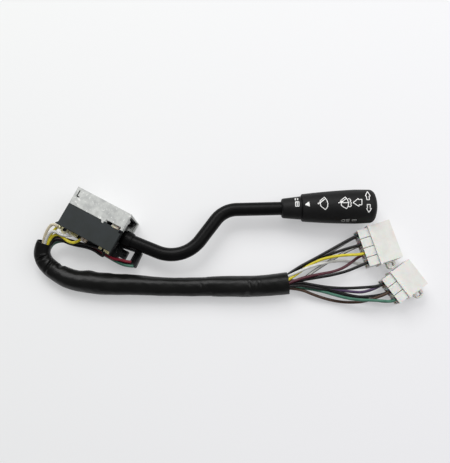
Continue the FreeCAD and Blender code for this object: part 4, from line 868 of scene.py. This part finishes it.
ARROW_DOWN: list[Stroke] = [
    [(53.3, -7.2), (51.2, -3.8), (52.0, -3.7), (51.8, -0.7), (54.3, -0.7), (54.2, -3.8), (55.3, -3.9), (53.3, -7.2)]]
LAMP_MARKS: list[Stroke] = [
    [(34.6, -13.6), (32.6, -14.0), (31.8, -15.2), (32.8, -16.2), (34.6, -16.4), (34.6, -13.6)],
    [(35.6, -13.8), (38.4, -13.6)], [(35.6, -15.0), (38.4, -14.8)], [(35.6, -16.2), (38.4, -16.0)],
    [(40.6, -14.0), (43.8, -14.0), (43.8, -15.6), (40.6, -15.6), (40.6, -14.0)]]
COLLAR_MARKS: list[Stroke] = [
    [(-5.2, 8.3), (-4.2, 8.2)], [(-5.3, 7.3), (-4.3, 7.2)], [(-5.4, 6.3), (-4.4, 6.2)],
    [(-3.4, 8.2), (-2.4, 8.1)], [(-3.5, 7.2), (-2.5, 7.1)], [(-3.6, 6.2), (-2.6, 6.1)],
    [(-5.0, 4.3), (-5.1, 0.3)], [(-3.7, 4.3), (-3.7, 0.3)], [(-2.4, 4.3), (-2.3, 0.3)], [(-5.0, 4.3), (-2.4, 4.3)],
    [(-5.1, 0.3), (-2.3, 0.3)]]


@dataclass
class Handle:
    """Lever tube, collar and knob with their printed marks.

    The ink lines have stroke as half their width and lie sunk that deep, in millimetres. The marks are
    moved back along the knob and round it by shift. Rays find the surface from ray_start metres out.
    """
    stroke: float = 0.42
    sunk: float = 0.2
    step: float = 0.8
    shift: Spot = (0.4, 0.75)
    first_radius: float = 12.0
    ray_start: float = 0.03

    def surface_point(self, tree: BVHTree, along: float, round_it: float) -> Vector:
        """Where a mark's point lies on the turned surface.

        Args:
            tree: the surface's faces.
            along: millimetres from the joint.
            round_it: millimetres round the surface from its top.

        Returns:
            The point in metres, sunk a little below the surface.
        """
        ahead = Vector((math.cos(KNOB_YAW), math.sin(KNOB_YAW), 0))
        side = Vector((-math.sin(KNOB_YAW), math.cos(KNOB_YAW), 0))
        centre = (JOINT + ahead * (along - self.shift[0])) * MM
        radius, out = self.first_radius, Vector((0, 0, 1))
        for _ in range(3):
            angle = (round_it - self.shift[1]) / radius
            out = Vector((0, 0, 1)) * math.cos(angle) + side * math.sin(angle)
            hit = tree.ray_cast(centre + out * self.ray_start, -out)[0]
            radius = (hit - centre).length / MM
        return centre + out * (radius - self.sunk) * MM

    def marks(self, name: str, carrier: bpy.types.Object, strokes: list[Stroke], finish: Finish, slot: str,
              body: Body) -> None:
        """Prints strokes as thin raised lines.

        Args:
            name: the piece's name.
            carrier: the surface that they lie on.
            strokes: lines in millimetres along and round the surface.
            finish: the ink.
            slot: not used.
            body: the body that carries them.
        """
        tree = BVHTree.FromObject(carrier, bpy.context.evaluated_depsgraph_get())
        data = bpy.data.curves.new(name, "CURVE")
        data.dimensions = "3D"
        data.bevel_depth = self.stroke * MM
        data.bevel_resolution = 2
        data.use_fill_caps = True
        for stroke in strokes:
            spots = []
            for (x0, v0), (x1, v1) in zip(stroke, stroke[1:]):
                parts = max(2, int(math.hypot(x1 - x0, v1 - v0) / self.step))
                spots += [(x0 + (x1 - x0) * k / parts, v0 + (v1 - v0) * k / parts) for k in range(parts)]
            spots.append(stroke[-1])
            spline = data.splines.new("POLY")
            spline.points.add(len(spots) - 1)
            for held, (x, v) in zip(spline.points, spots):
                held.co = (*self.surface_point(tree, x, v), 1.0)
        obj = bpy.data.objects.new(name, data)
        bpy.context.scene.collection.objects.link(obj)
        only(obj)
        bpy.ops.object.convert(target="MESH")
        finish_piece(bpy.context.object, finish, body)

    def build(self) -> None:
        """Builds tube, collar, knob and marks."""
        finish_piece(refine("lever_tube", "lever_tube_enamelled", 0.25, 2, 40), ENAMEL, Body.LEVER,
                     ["lever_tube"])
        collar = refine("position_collar", "position_collar_turned", 0.25, 3, 40)
        finish_piece(collar, KNOB, Body.LEVER, ["position_collar"])
        knob = refine("knob", "knob_grip", 0.3, 3, 40)
        finish_piece(knob, KNOB, Body.KNOB, ["knob"])
        for name, strokes in {"pointer_mark": POINTER, "wiper_mark": WIPER, "wipe_wash_mark": WIPE_WASH,
                              "left_arrow_mark": ARROW_LEFT, "up_arrow_mark": ARROW_UP,
                              "down_arrow_mark": ARROW_DOWN}.items():
            self.marks(name, knob, strokes, PRINT, "knob_plastic", Body.KNOB)
        # The lamp marks on the knob's lower side are grey, darker than the white marks on top
        self.marks("lamp_marks", knob, LAMP_MARKS, LOWER_SIDE_PRINT, "knob_plastic", Body.KNOB)
        self.marks("collar_marks", collar, COLLAR_MARKS, PRINT, "knob_plastic", Body.LEVER)


def main() -> None:
    """Builds the scene in order."""
    logging.basicConfig(level=logging.INFO, format="%(name)s: %(message)s")
    Studio().build()
    Harness(Plugs().build()).build()
    Casting().build()
    Mechanism().build()
    Handle().build()


if __name__ == "__main__":
    main()
